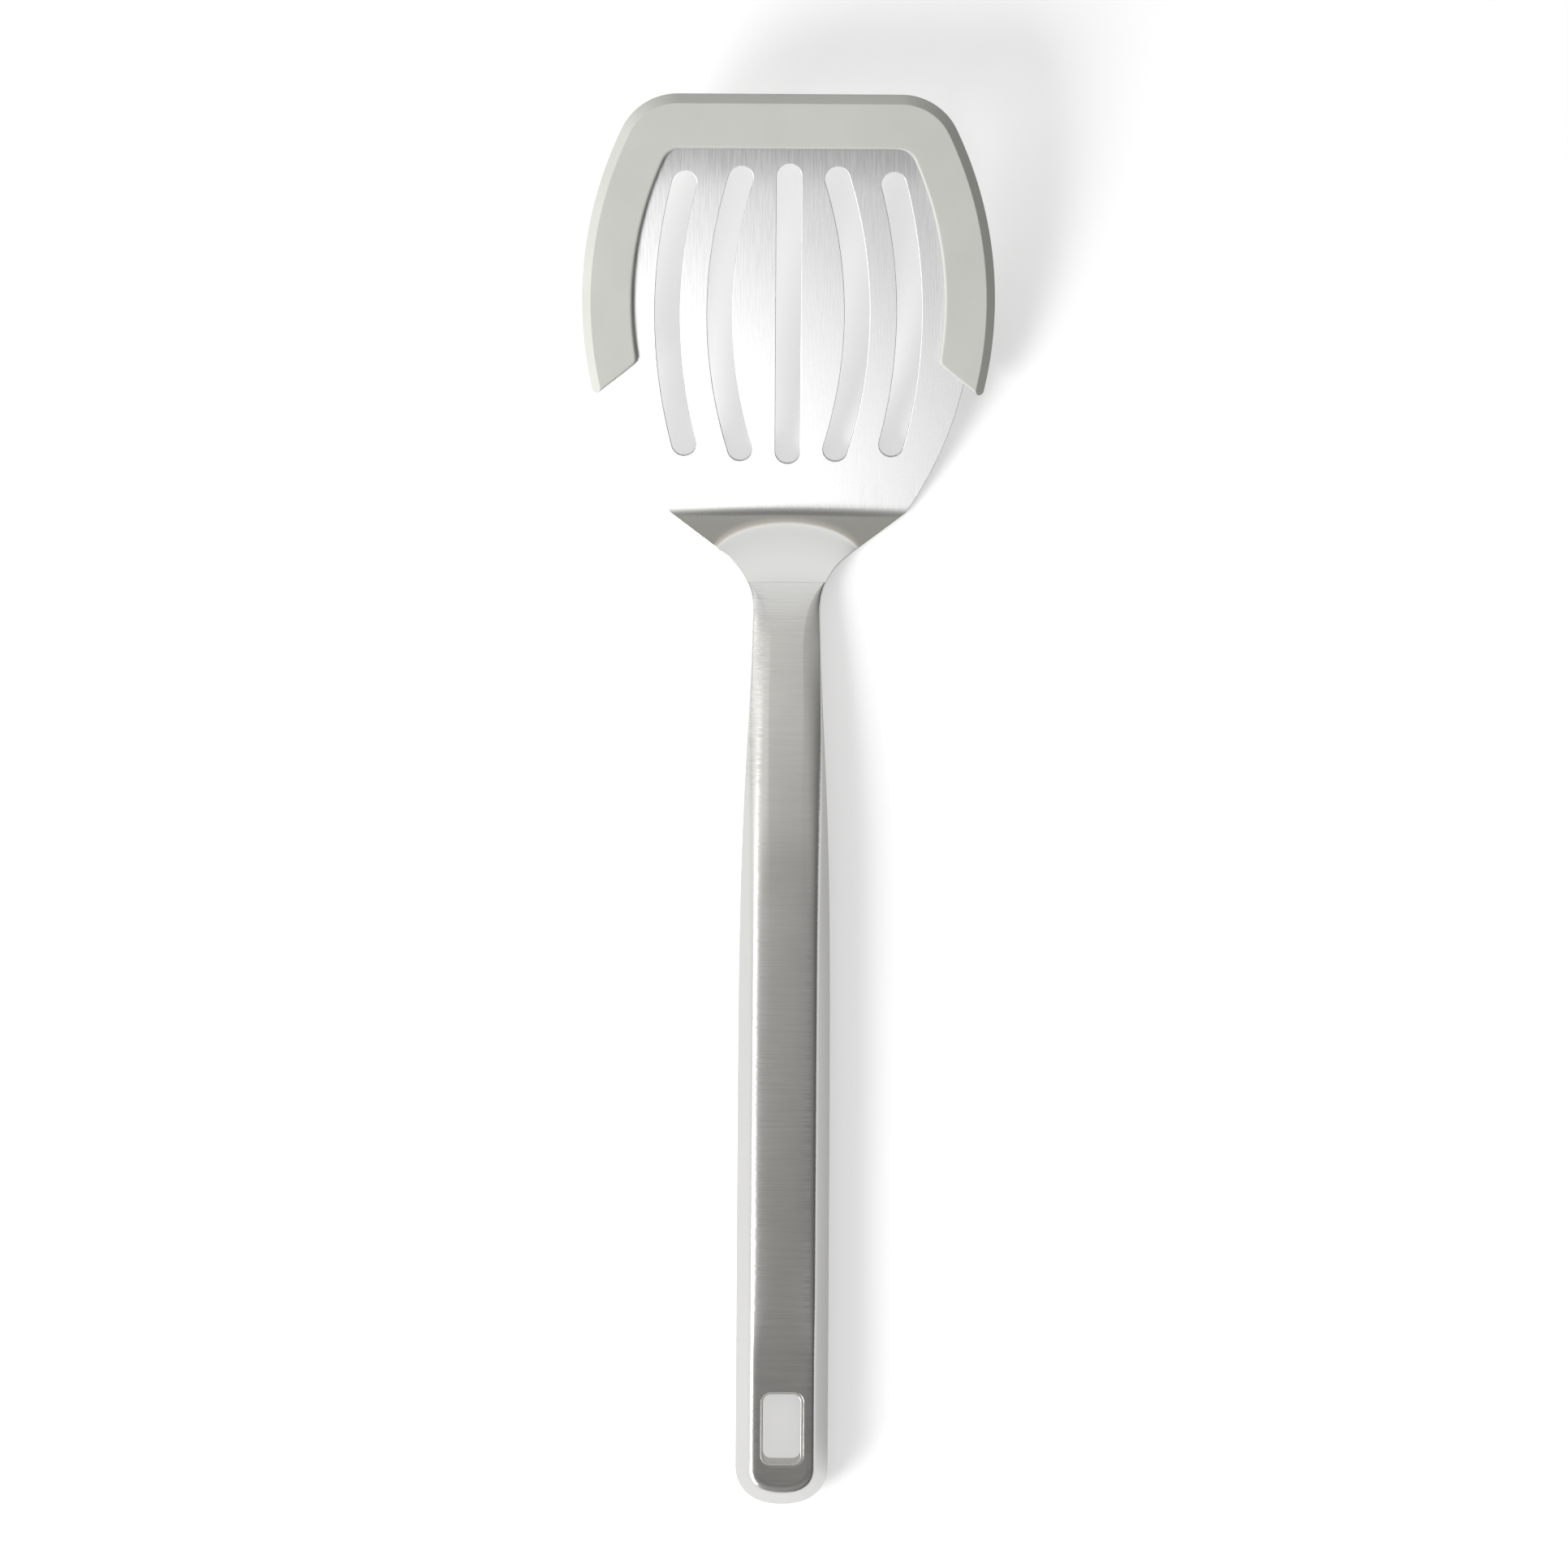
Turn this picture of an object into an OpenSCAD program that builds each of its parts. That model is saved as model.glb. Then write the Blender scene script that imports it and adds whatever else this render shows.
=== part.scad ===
// Slotted turner: a slotted steel blade with a moulded silicone edge, on a hollow steel handle.
// Sizes are in millimetres. The turner lies as it rests on a table: the blade points to +Y,
// and the heel of the blade and the flat back of the grip touch z = 0.

/* [Blade] */
// Length of the steel from the heel bend to its front edge
blade_l = 94.5; // [86:0.5:104]
// Width of the steel at its widest place
blade_w = 87.2; // [80:0.2:94]
// Distance from the heel bend to the widest place
blade_widest_at = 50; // [46:0.5:54]
// Radius of the bowed sides
blade_side_r = 90; // [84:1:100]
// Radius of the front corners of the steel
blade_corner_r = 9.5; // [7:0.5:12]
// Thickness of the steel sheet
steel_t = 1.5; // [1.2:0.1:2]
// Angle of the blade to the table
blade_tilt = 15.5; // [12:0.5:19]
// Inside radius of the bend at the heel
heel_bend_r = 2; // [1:0.25:4]

/* [Slots] */
// Width of each slot
slot_w = 5.9; // [4.6:0.1:6.6]
// Distance from the heel bend to the near end of the middle slot
slot_start = 11.3; // [9:0.1:14]
// Distance from the front end of the middle slot to the steel's front edge
slot_to_front = 11.4; // [9.5:0.1:16]
// Distance of the inner pair from the middle line, at the middle of its bow
inner_slot_x = 16.2; // [14.5:0.1:17.5]
// Bow radius of the inner pair
inner_slot_r = 109; // [95:1:140]
// How much each end of the inner pair stops short of the middle slot
inner_slot_short = 0.6; // [0:0.1:3]
// Distance of the outer pair from the middle line, at the middle of its bow
outer_slot_x = 28.5; // [27.5:0.1:29.5]
// Bow radius of the outer pair
outer_slot_r = 124; // [105:1:160]
// How much each end of the outer pair stops short of the middle slot
outer_slot_short = 1.8; // [1:0.1:5]

/* [Silicone edge] */
// How far the silicone reaches past the steel
edge_overhang = 5; // [3.5:0.1:7]
// How far the silicone covers the steel along the sides
edge_cover_side = 6.9; // [5.5:0.1:7.2]
// How far the silicone covers the steel along the front
edge_cover_front = 7.7; // [6:0.1:9]
// Thickness of the silicone over each face of the steel
edge_skin = 1.15; // [0.7:0.05:1.6]
// Width of the bevel along the outer edge
edge_bevel_w = 2; // [1:0.1:3]
// Thickness of the lip at the outer edge
edge_lip_t = 0.5; // [0.4:0.1:1.2]
// Radius of the front corners of the window
edge_window_r = 4.5; // [3:0.5:7]
// Distance from the heel bend to the inner corner at the end of each arm
arm_corner_at = 35.8; // [33:0.2:39]
// Slope of the cut across the end of each arm
arm_cut_slope = 39; // [30:1:48]
// Rounding of the inner corner of each arm
arm_corner_r = 2.6; // [1:0.2:4]
// How much is cut off the pointed tip of each arm
arm_tip_cut = 0.9; // [0.4:0.1:1.6]
// Diameter of the lock holes that the silicone flows through
lock_hole_d = 3.4; // [2.4:0.1:4.2]
// Spacing of the three lock holes along the front
lock_front_pitch = 20; // [14:0.5:23]
// Angle between the lock holes along each side
lock_side_pitch = 14; // [10:0.5:18]

/* [Shoulder and neck] */
// Angle at which the shoulder rises from the table
shoulder_rise = 14; // [12:0.5:17]
// Angle between the shoulder's edges and the length of the turner
shoulder_flank = 54; // [48:1:60]
// Radius of the hollow where the shoulder meets the neck
neck_fillet_r = 16; // [13:0.5:20]
// Width of the neck at its narrowest
neck_w = 16; // [14:0.2:18]
// Distance of the seam between blade and handle from the narrowest place
seam_back = 6.3; // [4:0.1:9]
// Width of the tang inside the handle
tang_w = 8.6; // [6:0.2:9]
// Length of the tang inside the handle
tang_l = 26; // [15:1:40]
// Length of the step down from the shoulder to the tang
tang_step_l = 2.5; // [1.5:0.1:4]

/* [Handle] */
// Length of the handle from the seam to its end
handle_l = 218; // [190:1:245]
// Width of the grip where the two shells meet
grip_w = 21.8; // [20:0.2:25]
// Depth of the grip from front to back
grip_depth = 14; // [12:0.2:16.5]
// Depth of the front shell at the grip
front_shell_depth = 8; // [7:0.1:9.5]
// Thickness of the shells
wall = 1; // [0.8:0.05:1.2]
// Inward slope of the grip's front walls, from the weld line to the corner of the face
front_draft_w = 3.1; // [2.6:0.1:4.3]
// Inward slope of the grip's back walls, from the weld line to the corner of the back
back_draft_w = 3.2; // [2:0.1:3.9]
// Width of the rounding along the grip's edges
edge_round_w = 0.9; // [0.7:0.1:1.9]
// Depth of the rounding along the grip's edges
edge_round_h = 0.9; // [0.7:0.1:2]
// Inward slope of the walls at the neck
neck_draft_w = 0.5; // [0.3:0.05:0.8]
// Width of the rounded flanks of the neck
neck_round_w = 3; // [2:0.1:3.1]
// Length over which the neck swells into the grip
swell_l = 46; // [38:1:60]
// Length of the rounded end
end_round_l = 9.5; // [8.5:0.1:12]

/* [Hang hole] */
// Width of the hang hole
hole_w = 8.9; // [7:0.1:9.2]
// Length of the hang hole
hole_l = 16.3; // [12:0.1:20]
// Corner radius of the hang hole
hole_corner_r = 1.9; // [1:0.1:3]
// Distance from the hang hole to the end of the handle
hole_from_end = 10.3; // [8.5:0.1:14]
// Thickness of the sleeve that lines the hang hole
liner_t = 0.6; // [0.4:0.05:0.7]
// How far the sleeve stays below the face and the back
liner_recess = 0.25; // [0.1:0.05:0.5]

/* [Fits] */
// Hairline between the silicone and the steel
mould_gap = 0.05; // [0.02:0.01:0.1]
// Gap filled by the welds, around the tang and between the shells
weld_gap = 0.1; // [0.05:0.01:0.15]
// Gap around the hang hole's sleeve
liner_gap = 0.05; // [0.02:0.01:0.1]

/* [Hidden] */
$fn = 120;

// Colours as the photo shows them
steel_colour = [0.80, 0.80, 0.80];
silicone_colour = [0.76, 0.765, 0.74];
handle_colour = [0.62, 0.62, 0.60];

// A value between two others, a list turned round, and a right-hand outline with its mirror image
function blend(a, b, t) = a + (b - a) * t;
function backwards(points) = [for (k = [len(points) - 1 : -1 : 0]) points[k]];
function mirrored(points) = concat(points, [for (p = backwards(points)) [-p[0], p[1]]]);

// Extra length by which cutting shapes pass what they cut
past = 1;

// Hair's breadth by which rounding circles pass the edges that they touch, so that they cross them cleanly
nip = 0.05;

// The heel bend turns about a point above the table, so that its outside touches z = 0
bend_out_r = heel_bend_r + steel_t;
bend_in_z = bend_out_r - heel_bend_r * cos(shoulder_rise);
bend_in_u = heel_bend_r * sin(shoulder_rise);

// The front line of the handle is one arc from the heel, which levels out at the grip's depth.
// Places along the handle are measured as u, from the heel towards the handle's end.
rise_r = (grip_depth - bend_in_z) / (1 - cos(shoulder_rise));
level_u = bend_in_u + rise_r * sin(shoulder_rise);
function front_z(u) = u < level_u ? grip_depth - rise_r + sqrt(rise_r ^ 2 - (level_u - u) ^ 2) : grip_depth;

// Each side of the blade is an arc about a point on the other side of the middle line
side_centre_x = blade_side_r - blade_w / 2;
heel_half_w = sqrt(blade_side_r ^ 2 - blade_widest_at ^ 2) - side_centre_x;

// The neck's hollow is an arc that touches the shoulder's edge and the narrowest place
neck_half_w = neck_w / 2;
hollow_x = neck_half_w + neck_fillet_r;
neck_u = (neck_fillet_r - (hollow_x - heel_half_w) * cos(shoulder_flank)) / sin(shoulder_flank);
seam_u = neck_u - seam_back;
end_u = seam_u + handle_l;

// Swelling from neck (0) to grip (1), gentle at both ends
swell_power = 1.8;
function swell(u) = u > neck_u ? 1 - exp(-(((u - neck_u) / swell_l) ^ swell_power)) : 0;
function half_w(u) = u < neck_u
    ? hollow_x - sqrt(neck_fillet_r ^ 2 - (neck_u - u) ^ 2)
    : blend(neck_half_w, grip_w / 2, swell(u));

// Depth of the closed handle grows smoothly from the tang's thickness at the seam to the grip
mouth_depth = 2 * wall + steel_t / cos(shoulder_rise) + 2 * weld_gap;
function ease(t) = t <= 0 ? 0 : t >= 1 ? 1 : t * t * (3 - 2 * t);
function deepening(u) = ease((u - seam_u) / (level_u - seam_u));
function handle_depth(u) = blend(mouth_depth, grip_depth, deepening(u));
front_share = front_shell_depth / grip_depth;
function front_depth(u) = handle_depth(u) * front_share;
function weld_z(u) = front_z(u) - front_depth(u);

// The whole turner is centred along Y between the silicone's lip and the handle's end
outer_l = blade_l + edge_overhang;
lip_low = (steel_t - edge_lip_t) / 2;
tip_y = bend_out_r * sin(blade_tilt) + outer_l * cos(blade_tilt) - lip_low * sin(blade_tilt);
heel_y = (end_u - tip_y) / 2;

// Stands a shape that is drawn flat, with y along the blade, on the tilted blade
module on_blade() {
    translate([0, heel_y + bend_out_r * sin(blade_tilt), bend_out_r * (1 - cos(blade_tilt))])
        rotate([blade_tilt, 0, 0])
            children();
}

// Turns a shape drawn with y along u, in the table's plane, to its place
module along_handle() {
    translate([0, heel_y, 0])
        mirror([0, 1, 0])
            children();
}

// Draws its children at the right and mirrored at the left
module both_sides() {
    children();
    mirror([1, 0, 0])
        children();
}

// Middle of the round front corner, at the right, of an outline that lies inside the steel's edge
// by side_in and front_in
side_centre = [-side_centre_x, blade_widest_at];
function corner_mid(side_in, front_in, r) =
    [sqrt((blade_side_r - side_in - r) ^ 2 - (blade_l - front_in - r - blade_widest_at) ^ 2) - side_centre_x,
        blade_l - front_in - r];

// Wedge that opens from a point, between two directions, and reaches past a corner of radius r there
module wedge(point, from, to, r) {
    reach = 4 * r;
    polygon([point, point + reach * from, point + reach * (from + to), point + reach * to]);
}

// The wedge at the right front corner of an outline
module corner_wedge(side_in, front_in, r) {
    mid = corner_mid(side_in, front_in, r);
    wedge(mid, (mid - side_centre) / norm(mid - side_centre), [0, 1], r);
}

// Flat outline of the blade, moved in from the steel's edge, with front corners of radius r
module blade_outline(side_in, front_in, r) {
    difference() {
        intersection() {
            translate(side_centre)
                circle(blade_side_r - side_in);
            translate([side_centre_x, blade_widest_at])
                circle(blade_side_r - side_in);
            translate([-blade_w, nip])
                square([2 * blade_w, blade_l - front_in - nip]);
        }
        both_sides()
            difference() {
                corner_wedge(side_in, front_in, r);
                translate(corner_mid(side_in, front_in, r))
                    circle(r + nip);
            }
    }
}

slot_l = blade_l - slot_start - slot_to_front;
slot_mid = slot_start + slot_l / 2;

// The straight middle slot
module middle_slot() {
    run = slot_l - slot_w;
    intersection() {
        translate([-slot_w / 2, slot_start - past])
            square([slot_w, slot_l + 2 * past]);
        union() {
            translate([-slot_w, slot_mid - run / 2])
                square([2 * slot_w, run]);
            for (end = [-1, 1])
                translate([0, slot_mid + end * run / 2])
                    circle(slot_w / 2 + nip);
        }
    }
}

// A bowed slot whose middle line is an arc of radius r, at x in its middle
module bowed_slot(x, r, short) {
    half_angle = asin(((slot_l - slot_w) / 2 - short) / r);
    reach = 2 * r;
    translate([x - r, slot_mid])
        intersection() {
            difference() {
                circle(r + slot_w / 2);
                circle(r - slot_w / 2);
            }
            union() {
                polygon([[0, 0], reach * [cos(half_angle), -sin(half_angle)],
                    reach * [cos(half_angle), sin(half_angle)]]);
                for (end = [-1, 1])
                    rotate(end * half_angle)
                        translate([r, 0])
                            circle(slot_w / 2 + nip);
            }
        }
}

// Draws its child at each lock hole: three along the front and two along each side
module at_lock_holes() {
    for (k = [-1, 0, 1])
        translate([k * lock_front_pitch, blade_l - edge_cover_front / 2])
            children();
    both_sides()
        for (k = [0, 1])
            translate(side_centre)
                rotate(k * lock_side_pitch - lock_side_pitch / 4)
                    translate([blade_side_r - edge_cover_side / 2, 0])
                        children();
}

// The plate's outline with its slots and lock holes
module plate_plan() {
    difference() {
        blade_outline(0, 0, blade_corner_r);
        middle_slot();
        both_sides() {
            bowed_slot(inner_slot_x, inner_slot_r, inner_slot_short);
            bowed_slot(outer_slot_x, outer_slot_r, outer_slot_short);
        }
        at_lock_holes()
            circle(d = lock_hole_d);
    }
}

// Outline of the bend, shoulder and tang seen from above, with y along u
module strip_plan() {
    before_bend = -bend_out_r * sin(blade_tilt) - past;
    hollow_start = [hollow_x, neck_u] - neck_fillet_r * [cos(shoulder_flank), sin(shoulder_flank)];
    difference() {
        polygon(mirrored([[heel_half_w - nip, before_bend], [heel_half_w - nip, 0], hollow_start,
            [hollow_start[0], seam_u]]));
        both_sides()
            translate([hollow_x, neck_u])
                circle(neck_fillet_r + nip);
    }
    translate([-tang_w / 2, seam_u - past])
        square([tang_w, tang_l + 2 * past]);
}

// Side profile of the whole sheet as points [u, z]: the plate, the bend, the shoulder, and the tang,
// which steps down at the seam by the thickness of the handle's skin
shoulder_steps = 8;
tang_steps = 8;
bend_steps = 10;
tang_drop = wall + weld_gap;
sheet_h = steel_t / cos(shoulder_rise);
step_u = seam_u - tang_step_l;
function plate_end(h) =
    let (p = blade_l + past)
    [h * sin(blade_tilt) - bend_out_r * sin(blade_tilt) - p * cos(blade_tilt),
        bend_out_r * (1 - cos(blade_tilt)) + p * sin(blade_tilt) + h * cos(blade_tilt)];
function bend_arc(r) = [for (k = [0 : bend_steps])
    let (a = blend(-blade_tilt, shoulder_rise, k / bend_steps)) [r * sin(a), bend_out_r - r * cos(a)]];
function front_run(from, to, steps, drop) = [for (k = [1 : steps])
    let (u = blend(from, to, k / steps)) [u, front_z(u) - drop]];
function tang_run(drop) = concat([[seam_u, front_z(seam_u) - drop]],
    front_run(seam_u, seam_u + tang_l, tang_steps, drop));
sheet_top = concat([plate_end(steel_t)], bend_arc(heel_bend_r),
    front_run(bend_in_u, seam_u, shoulder_steps, 0), tang_run(tang_drop));
sheet_under = concat([plate_end(0)], bend_arc(bend_out_r),
    front_run(bend_out_r * sin(shoulder_rise), step_u, shoulder_steps, sheet_h),
    tang_run(tang_drop + sheet_h));

// One sheet: its side profile, cut square to the plate along the plate's outline,
// and straight down along the outline of the shoulder and tang
module blade() {
    color(steel_colour)
        intersection() {
            along_handle()
                translate([-blade_w, 0, 0])
                    rotate([90, 0, 90])
                        linear_extrude(2 * blade_w)
                            polygon(concat(sheet_top, backwards(sheet_under)));
            union() {
                on_blade()
                    translate([0, 0, -past])
                        linear_extrude(steel_t + 2 * past)
                            plate_plan();
                along_handle()
                    translate([0, 0, -past])
                        linear_extrude(grip_depth + 2 * past)
                            strip_plan();
            }
        }
}

// Half section of the silicone's pad, from its middle to its bevelled rim at r
edge_low = -edge_skin;
edge_high = steel_t + edge_skin;
lip_high = lip_low + edge_lip_t;
function pad_section(r) = [[0, edge_low], [r - edge_bevel_w, edge_low], [r, lip_low], [r, lip_high],
    [r - edge_bevel_w, edge_high], [0, edge_high]];

// The whole bevelled pad, before its window, groove and arm ends are cut
module silicone_pad() {
    outer_r = blade_corner_r + edge_overhang;
    difference() {
        intersection() {
            translate(side_centre)
                rotate_extrude()
                    polygon(pad_section(blade_side_r + edge_overhang));
            translate([side_centre_x, blade_widest_at])
                rotate_extrude()
                    polygon(pad_section(blade_side_r + edge_overhang));
            translate([-blade_w, 0, 0])
                rotate([90, 0, 90])
                    linear_extrude(2 * blade_w)
                        polygon(pad_section(outer_l));
        }
        both_sides()
            difference() {
                translate([0, 0, edge_low - past])
                    linear_extrude(edge_high - edge_low + 2 * past)
                        corner_wedge(-edge_overhang, -edge_overhang, outer_r);
                translate(corner_mid(-edge_overhang, -edge_overhang, outer_r))
                    rotate_extrude()
                        polygon(pad_section(outer_r + nip));
            }
    }
}

// What is cut from the pad below a sloping line across the right arm.
// The arm's inner corner is rounded, and its tip is cut blunt.
module arm_cut() {
    inner_r = blade_side_r - edge_cover_side;
    outer_r = blade_side_r + edge_overhang;
    corner = [sqrt(inner_r ^ 2 - (arm_corner_at - blade_widest_at) ^ 2) - side_centre_x, arm_corner_at];
    along = [cos(arm_cut_slope), -sin(arm_cut_slope)];
    across = [sin(arm_cut_slope), cos(arm_cut_slope)];
    line_at = (corner - side_centre) * across;
    round_reach = inner_r + arm_corner_r;
    round_angle = asin((line_at + arm_corner_r) / round_reach) - arm_cut_slope;
    round_out = [cos(round_angle), sin(round_angle)];
    round_mid = side_centre + round_reach * round_out;
    tip_angle = asin(line_at / outer_r) - arm_cut_slope;
    tip_blunt = side_centre + outer_r * [cos(tip_angle), sin(tip_angle)] - arm_tip_cut * along;
    inside = corner - edge_cover_side * along;
    polygon([[0, -past], [blade_w, -past], [blade_w, tip_blunt[1]], tip_blunt, inside, [0, inside[1]]]);
    difference() {
        wedge(round_mid, -round_out, -across, arm_corner_r);
        translate(round_mid)
            circle(arm_corner_r + nip);
    }
}

module silicone_edge() {
    cut_h = edge_high - edge_low + 2 * past;
    color(silicone_colour)
        on_blade() {
            difference() {
                silicone_pad();
                translate([0, 0, edge_low - past])
                    linear_extrude(cut_h) {
                        blade_outline(edge_cover_side, edge_cover_front, edge_window_r);
                        both_sides()
                            arm_cut();
                    }
                translate([0, 0, -mould_gap])
                    linear_extrude(steel_t + 2 * mould_gap)
                        blade_outline(-mould_gap, -mould_gap, blade_corner_r + mould_gap);
            }
            translate([0, 0, -edge_skin / 2])
                linear_extrude(steel_t + edge_skin)
                    at_lock_holes()
                        circle(d = lock_hole_d - 2 * mould_gap);
        }
}

// Stations along one side of the handle, from the seam round to the middle of its end.
// Each is [x, u, outward x, outward u] on the line where the two shells meet.
neck_steps = 18;
neck_step_growth = 1.5;
grip_steps = 6;
end_steps = 10;
end_power = 2.3;
end_start_u = end_u - end_round_l;
mouth_u = seam_u + weld_gap;
function side_station(u) = [half_w(u), u, 1, 0];
function end_station(a) =
    let (x = cos(a) ^ (2 / end_power), v = sin(a) ^ (2 / end_power),
        nx = x ^ (end_power - 1) / half_w(end_start_u), nu = v ^ (end_power - 1) / end_round_l,
        n = norm([nx, nu]))
    [half_w(end_start_u) * x, end_start_u + end_round_l * v, nx / n, nu / n];
stations = concat(
    [for (k = [0 : neck_steps]) side_station(blend(mouth_u, level_u, (k / neck_steps) ^ neck_step_growth))],
    [for (k = [1 : grip_steps]) side_station(blend(level_u, end_start_u, k / grip_steps))],
    [for (k = [1 : end_steps]) end_station(90 * k / end_steps)]);
last = len(stations) - 1;

// Half section of a shell of depth h, as [distance in from the weld line, height above it]: a sloping wall,
// a rounded corner and the edge of the flat face. The inside lies in from the outside by skin.
round_steps = 4;
least_round = 0.2;
function curve(a, b, c, t) = (1 - t) ^ 2 * a + 2 * t * (1 - t) * b + t ^ 2 * c;
function half_section(h, draft, round_w, round_h, skin) =
    let (foot = skin * norm([draft, h]) / h,
        corner = [foot + (h - skin) * draft / h, h - skin],
        wall_end = corner - max(round_h - skin, least_round) * [draft / h, 1],
        face = corner + [max(draft + round_w - corner[0], least_round), 0])
    concat([[foot, 0]], [for (k = [0 : round_steps]) curve(wall_end, corner, face, k / round_steps)]);
half_count = round_steps + 2;
section_last = 2 * half_count - 1;

// Points of one skin of a shell. side is 1 for the front shell and -1 for the back shell.
// The back of the grip is made a little too deep and then cut level with the table, so that it is truly flat.
// At the seam the section is as flat as the blade's sheet, and its flanks round off towards the neck.
neck_round_share = 0.7;
mouth_round = 0.5;
mouth_draft_w = 0.1;
mouth_l = 9;
back_trim = 0.05;
function shell_depth(u, side) = side > 0
    ? front_depth(u)
    : handle_depth(u) - front_depth(u) - weld_gap + back_trim * deepening(u);
function section_at(u, side, skin) =
    let (h = shell_depth(u, side), t = swell(u), m = ease((u - seam_u) / mouth_l),
        draft = side > 0 ? front_draft_w : back_draft_w)
    half_section(h, blend(blend(mouth_draft_w, neck_draft_w, m), draft, t),
        blend(blend(mouth_round, neck_round_w, m), edge_round_w, t),
        blend(blend(mouth_round, neck_round_share * h, m), edge_round_h, t), skin);
function skin_point(s, p, side) =
    let (u = s[1] - p[0] * s[3], z = weld_z(s[1]) + (side > 0 ? p[1] : -weld_gap - p[1]))
    [s[0] - p[0] * s[2], -u, z];
function flip_x(p) = [-p[0], p[1], p[2]];
function skin_row(i, side, skin) =
    let (s = stations[i], right = [for (p = section_at(s[1], side, skin)) skin_point(s, p, side)])
    i < last ? concat([for (p = right) flip_x(p)], backwards(right)) : right;
function skin_points(side, skin) = [for (i = [0 : last]) each skin_row(i, side, skin)];

// Number of a point: rows run from the left weld line over the face to the right one, and the last row,
// on the middle line, is half a row that both sides share
skin_count = last * 2 * half_count + half_count;
function at(i, j, inner) =
    i * 2 * half_count + (i < last ? j : min(j, section_last - j)) + (inner ? skin_count : 0);
function two(a, b, c, d) = [if (a != b && b != c) [a, b, c], if (c != d && d != a) [a, c, d]];
shell_faces = [
    for (i = [0 : last - 1], j = [0 : section_last - 1])
        each concat(two(at(i, j, false), at(i, j + 1, false), at(i + 1, j + 1, false), at(i + 1, j, false)),
            two(at(i, j, true), at(i + 1, j, true), at(i + 1, j + 1, true), at(i, j + 1, true))),
    for (i = [0 : last - 1], j = [0, section_last])
        let (a = j == 0 ? i : i + 1, b = j == 0 ? i + 1 : i)
        each two(at(a, j, false), at(b, j, false), at(b, j, true), at(a, j, true)),
    for (j = [0 : section_last - 1])
        each two(at(0, j + 1, false), at(0, j, false), at(0, j, true), at(0, j + 1, true))];

// One shell of the handle, with the cut for the hang hole's sleeve
module shell(side) {
    difference() {
        translate([0, heel_y, 0])
            polyhedron(concat(skin_points(side, 0), skin_points(side, wall)),
                side > 0 ? shell_faces : [for (f = shell_faces) backwards(f)]);
        hang_hole_prism(liner_t + liner_gap, -past, grip_depth + past);
        translate([-grip_w, heel_y - end_u - past, -past])
            cube([2 * grip_w, handle_l + 2 * past, past]);
    }
}

// Upright prism of the hang hole, made larger all round by grow
module hang_hole_prism(grow, from_z, to_z) {
    w = hole_w + 2 * grow;
    l = hole_l + 2 * grow;
    r = hole_corner_r + grow;
    translate([0, heel_y - end_u + hole_from_end + hole_l / 2, from_z])
        linear_extrude(to_z - from_z) {
            square([w - 2 * r, l], center = true);
            square([w, l - 2 * r], center = true);
            for (x = [-1, 1], y = [-1, 1])
                translate([x * (w / 2 - r), y * (l / 2 - r)])
                    circle(r);
        }
}

module handle_front_shell() {
    color(handle_colour)
        shell(1);
}

module handle_back_shell() {
    color(handle_colour)
        shell(-1);
}

module hang_hole_liner() {
    color(steel_colour)
        difference() {
            hang_hole_prism(liner_t, liner_recess, grip_depth - liner_recess);
            hang_hole_prism(0, -past, grip_depth + past);
        }
}

blade();
silicone_edge();
handle_front_shell();
handle_back_shell();
hang_hole_liner();
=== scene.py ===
"""Looks of the slotted turner: a slotted steel blade with a moulded silicone edge, on a hollow steel handle.

The turner's lengths are in millimetres, and Skin.piece turns them into metres. The studio's are in metres.
The turner lies on the table z = 0 with its blade towards +Y. On the handle's side, u is the distance from
the blade's heel towards the handle's end. On the blade, p is the distance from the heel towards the front
edge, and h the height above the steel's underside.
"""

import bpy
import numpy as np
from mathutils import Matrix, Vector
from mathutils.geometry import delaunay_2d_cdt
from numpy import array, broadcast_to, clip, concatenate as join, cos, linspace, maximum, minimum
from numpy import pi, radians, sin, sqrt, stack, tan


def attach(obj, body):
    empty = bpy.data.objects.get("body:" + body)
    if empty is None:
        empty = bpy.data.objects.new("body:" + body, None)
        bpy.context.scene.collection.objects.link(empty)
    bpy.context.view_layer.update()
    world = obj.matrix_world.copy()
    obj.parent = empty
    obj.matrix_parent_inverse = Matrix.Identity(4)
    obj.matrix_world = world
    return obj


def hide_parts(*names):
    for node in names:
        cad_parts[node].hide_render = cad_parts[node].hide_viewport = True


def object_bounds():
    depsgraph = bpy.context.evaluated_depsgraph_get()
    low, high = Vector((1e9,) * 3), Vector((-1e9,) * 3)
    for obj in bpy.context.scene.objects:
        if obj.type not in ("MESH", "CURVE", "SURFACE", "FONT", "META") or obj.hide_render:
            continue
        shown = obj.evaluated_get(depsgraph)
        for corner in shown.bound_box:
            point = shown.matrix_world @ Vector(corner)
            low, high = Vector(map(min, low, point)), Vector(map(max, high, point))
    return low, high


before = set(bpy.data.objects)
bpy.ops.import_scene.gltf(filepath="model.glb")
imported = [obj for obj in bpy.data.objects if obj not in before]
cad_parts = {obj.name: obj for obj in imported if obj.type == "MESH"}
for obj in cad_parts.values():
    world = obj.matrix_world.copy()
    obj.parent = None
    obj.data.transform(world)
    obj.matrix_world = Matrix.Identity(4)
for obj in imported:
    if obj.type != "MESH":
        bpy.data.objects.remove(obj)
cad_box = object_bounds()

MM = 0.001

# Blade
BLADE_LENGTH = 94.5
BLADE_WIDTH = 87.2
BLADE_WIDEST_AT = 50
BLADE_SIDE_R = 90
BLADE_CORNER_R = 9.5
STEEL = 1.5
BLADE_TILT = radians(15.5)
HEEL_BEND_R = 2
HEEL_SOFT_R = 10
CUT_EDGE_R = 0.14

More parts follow.
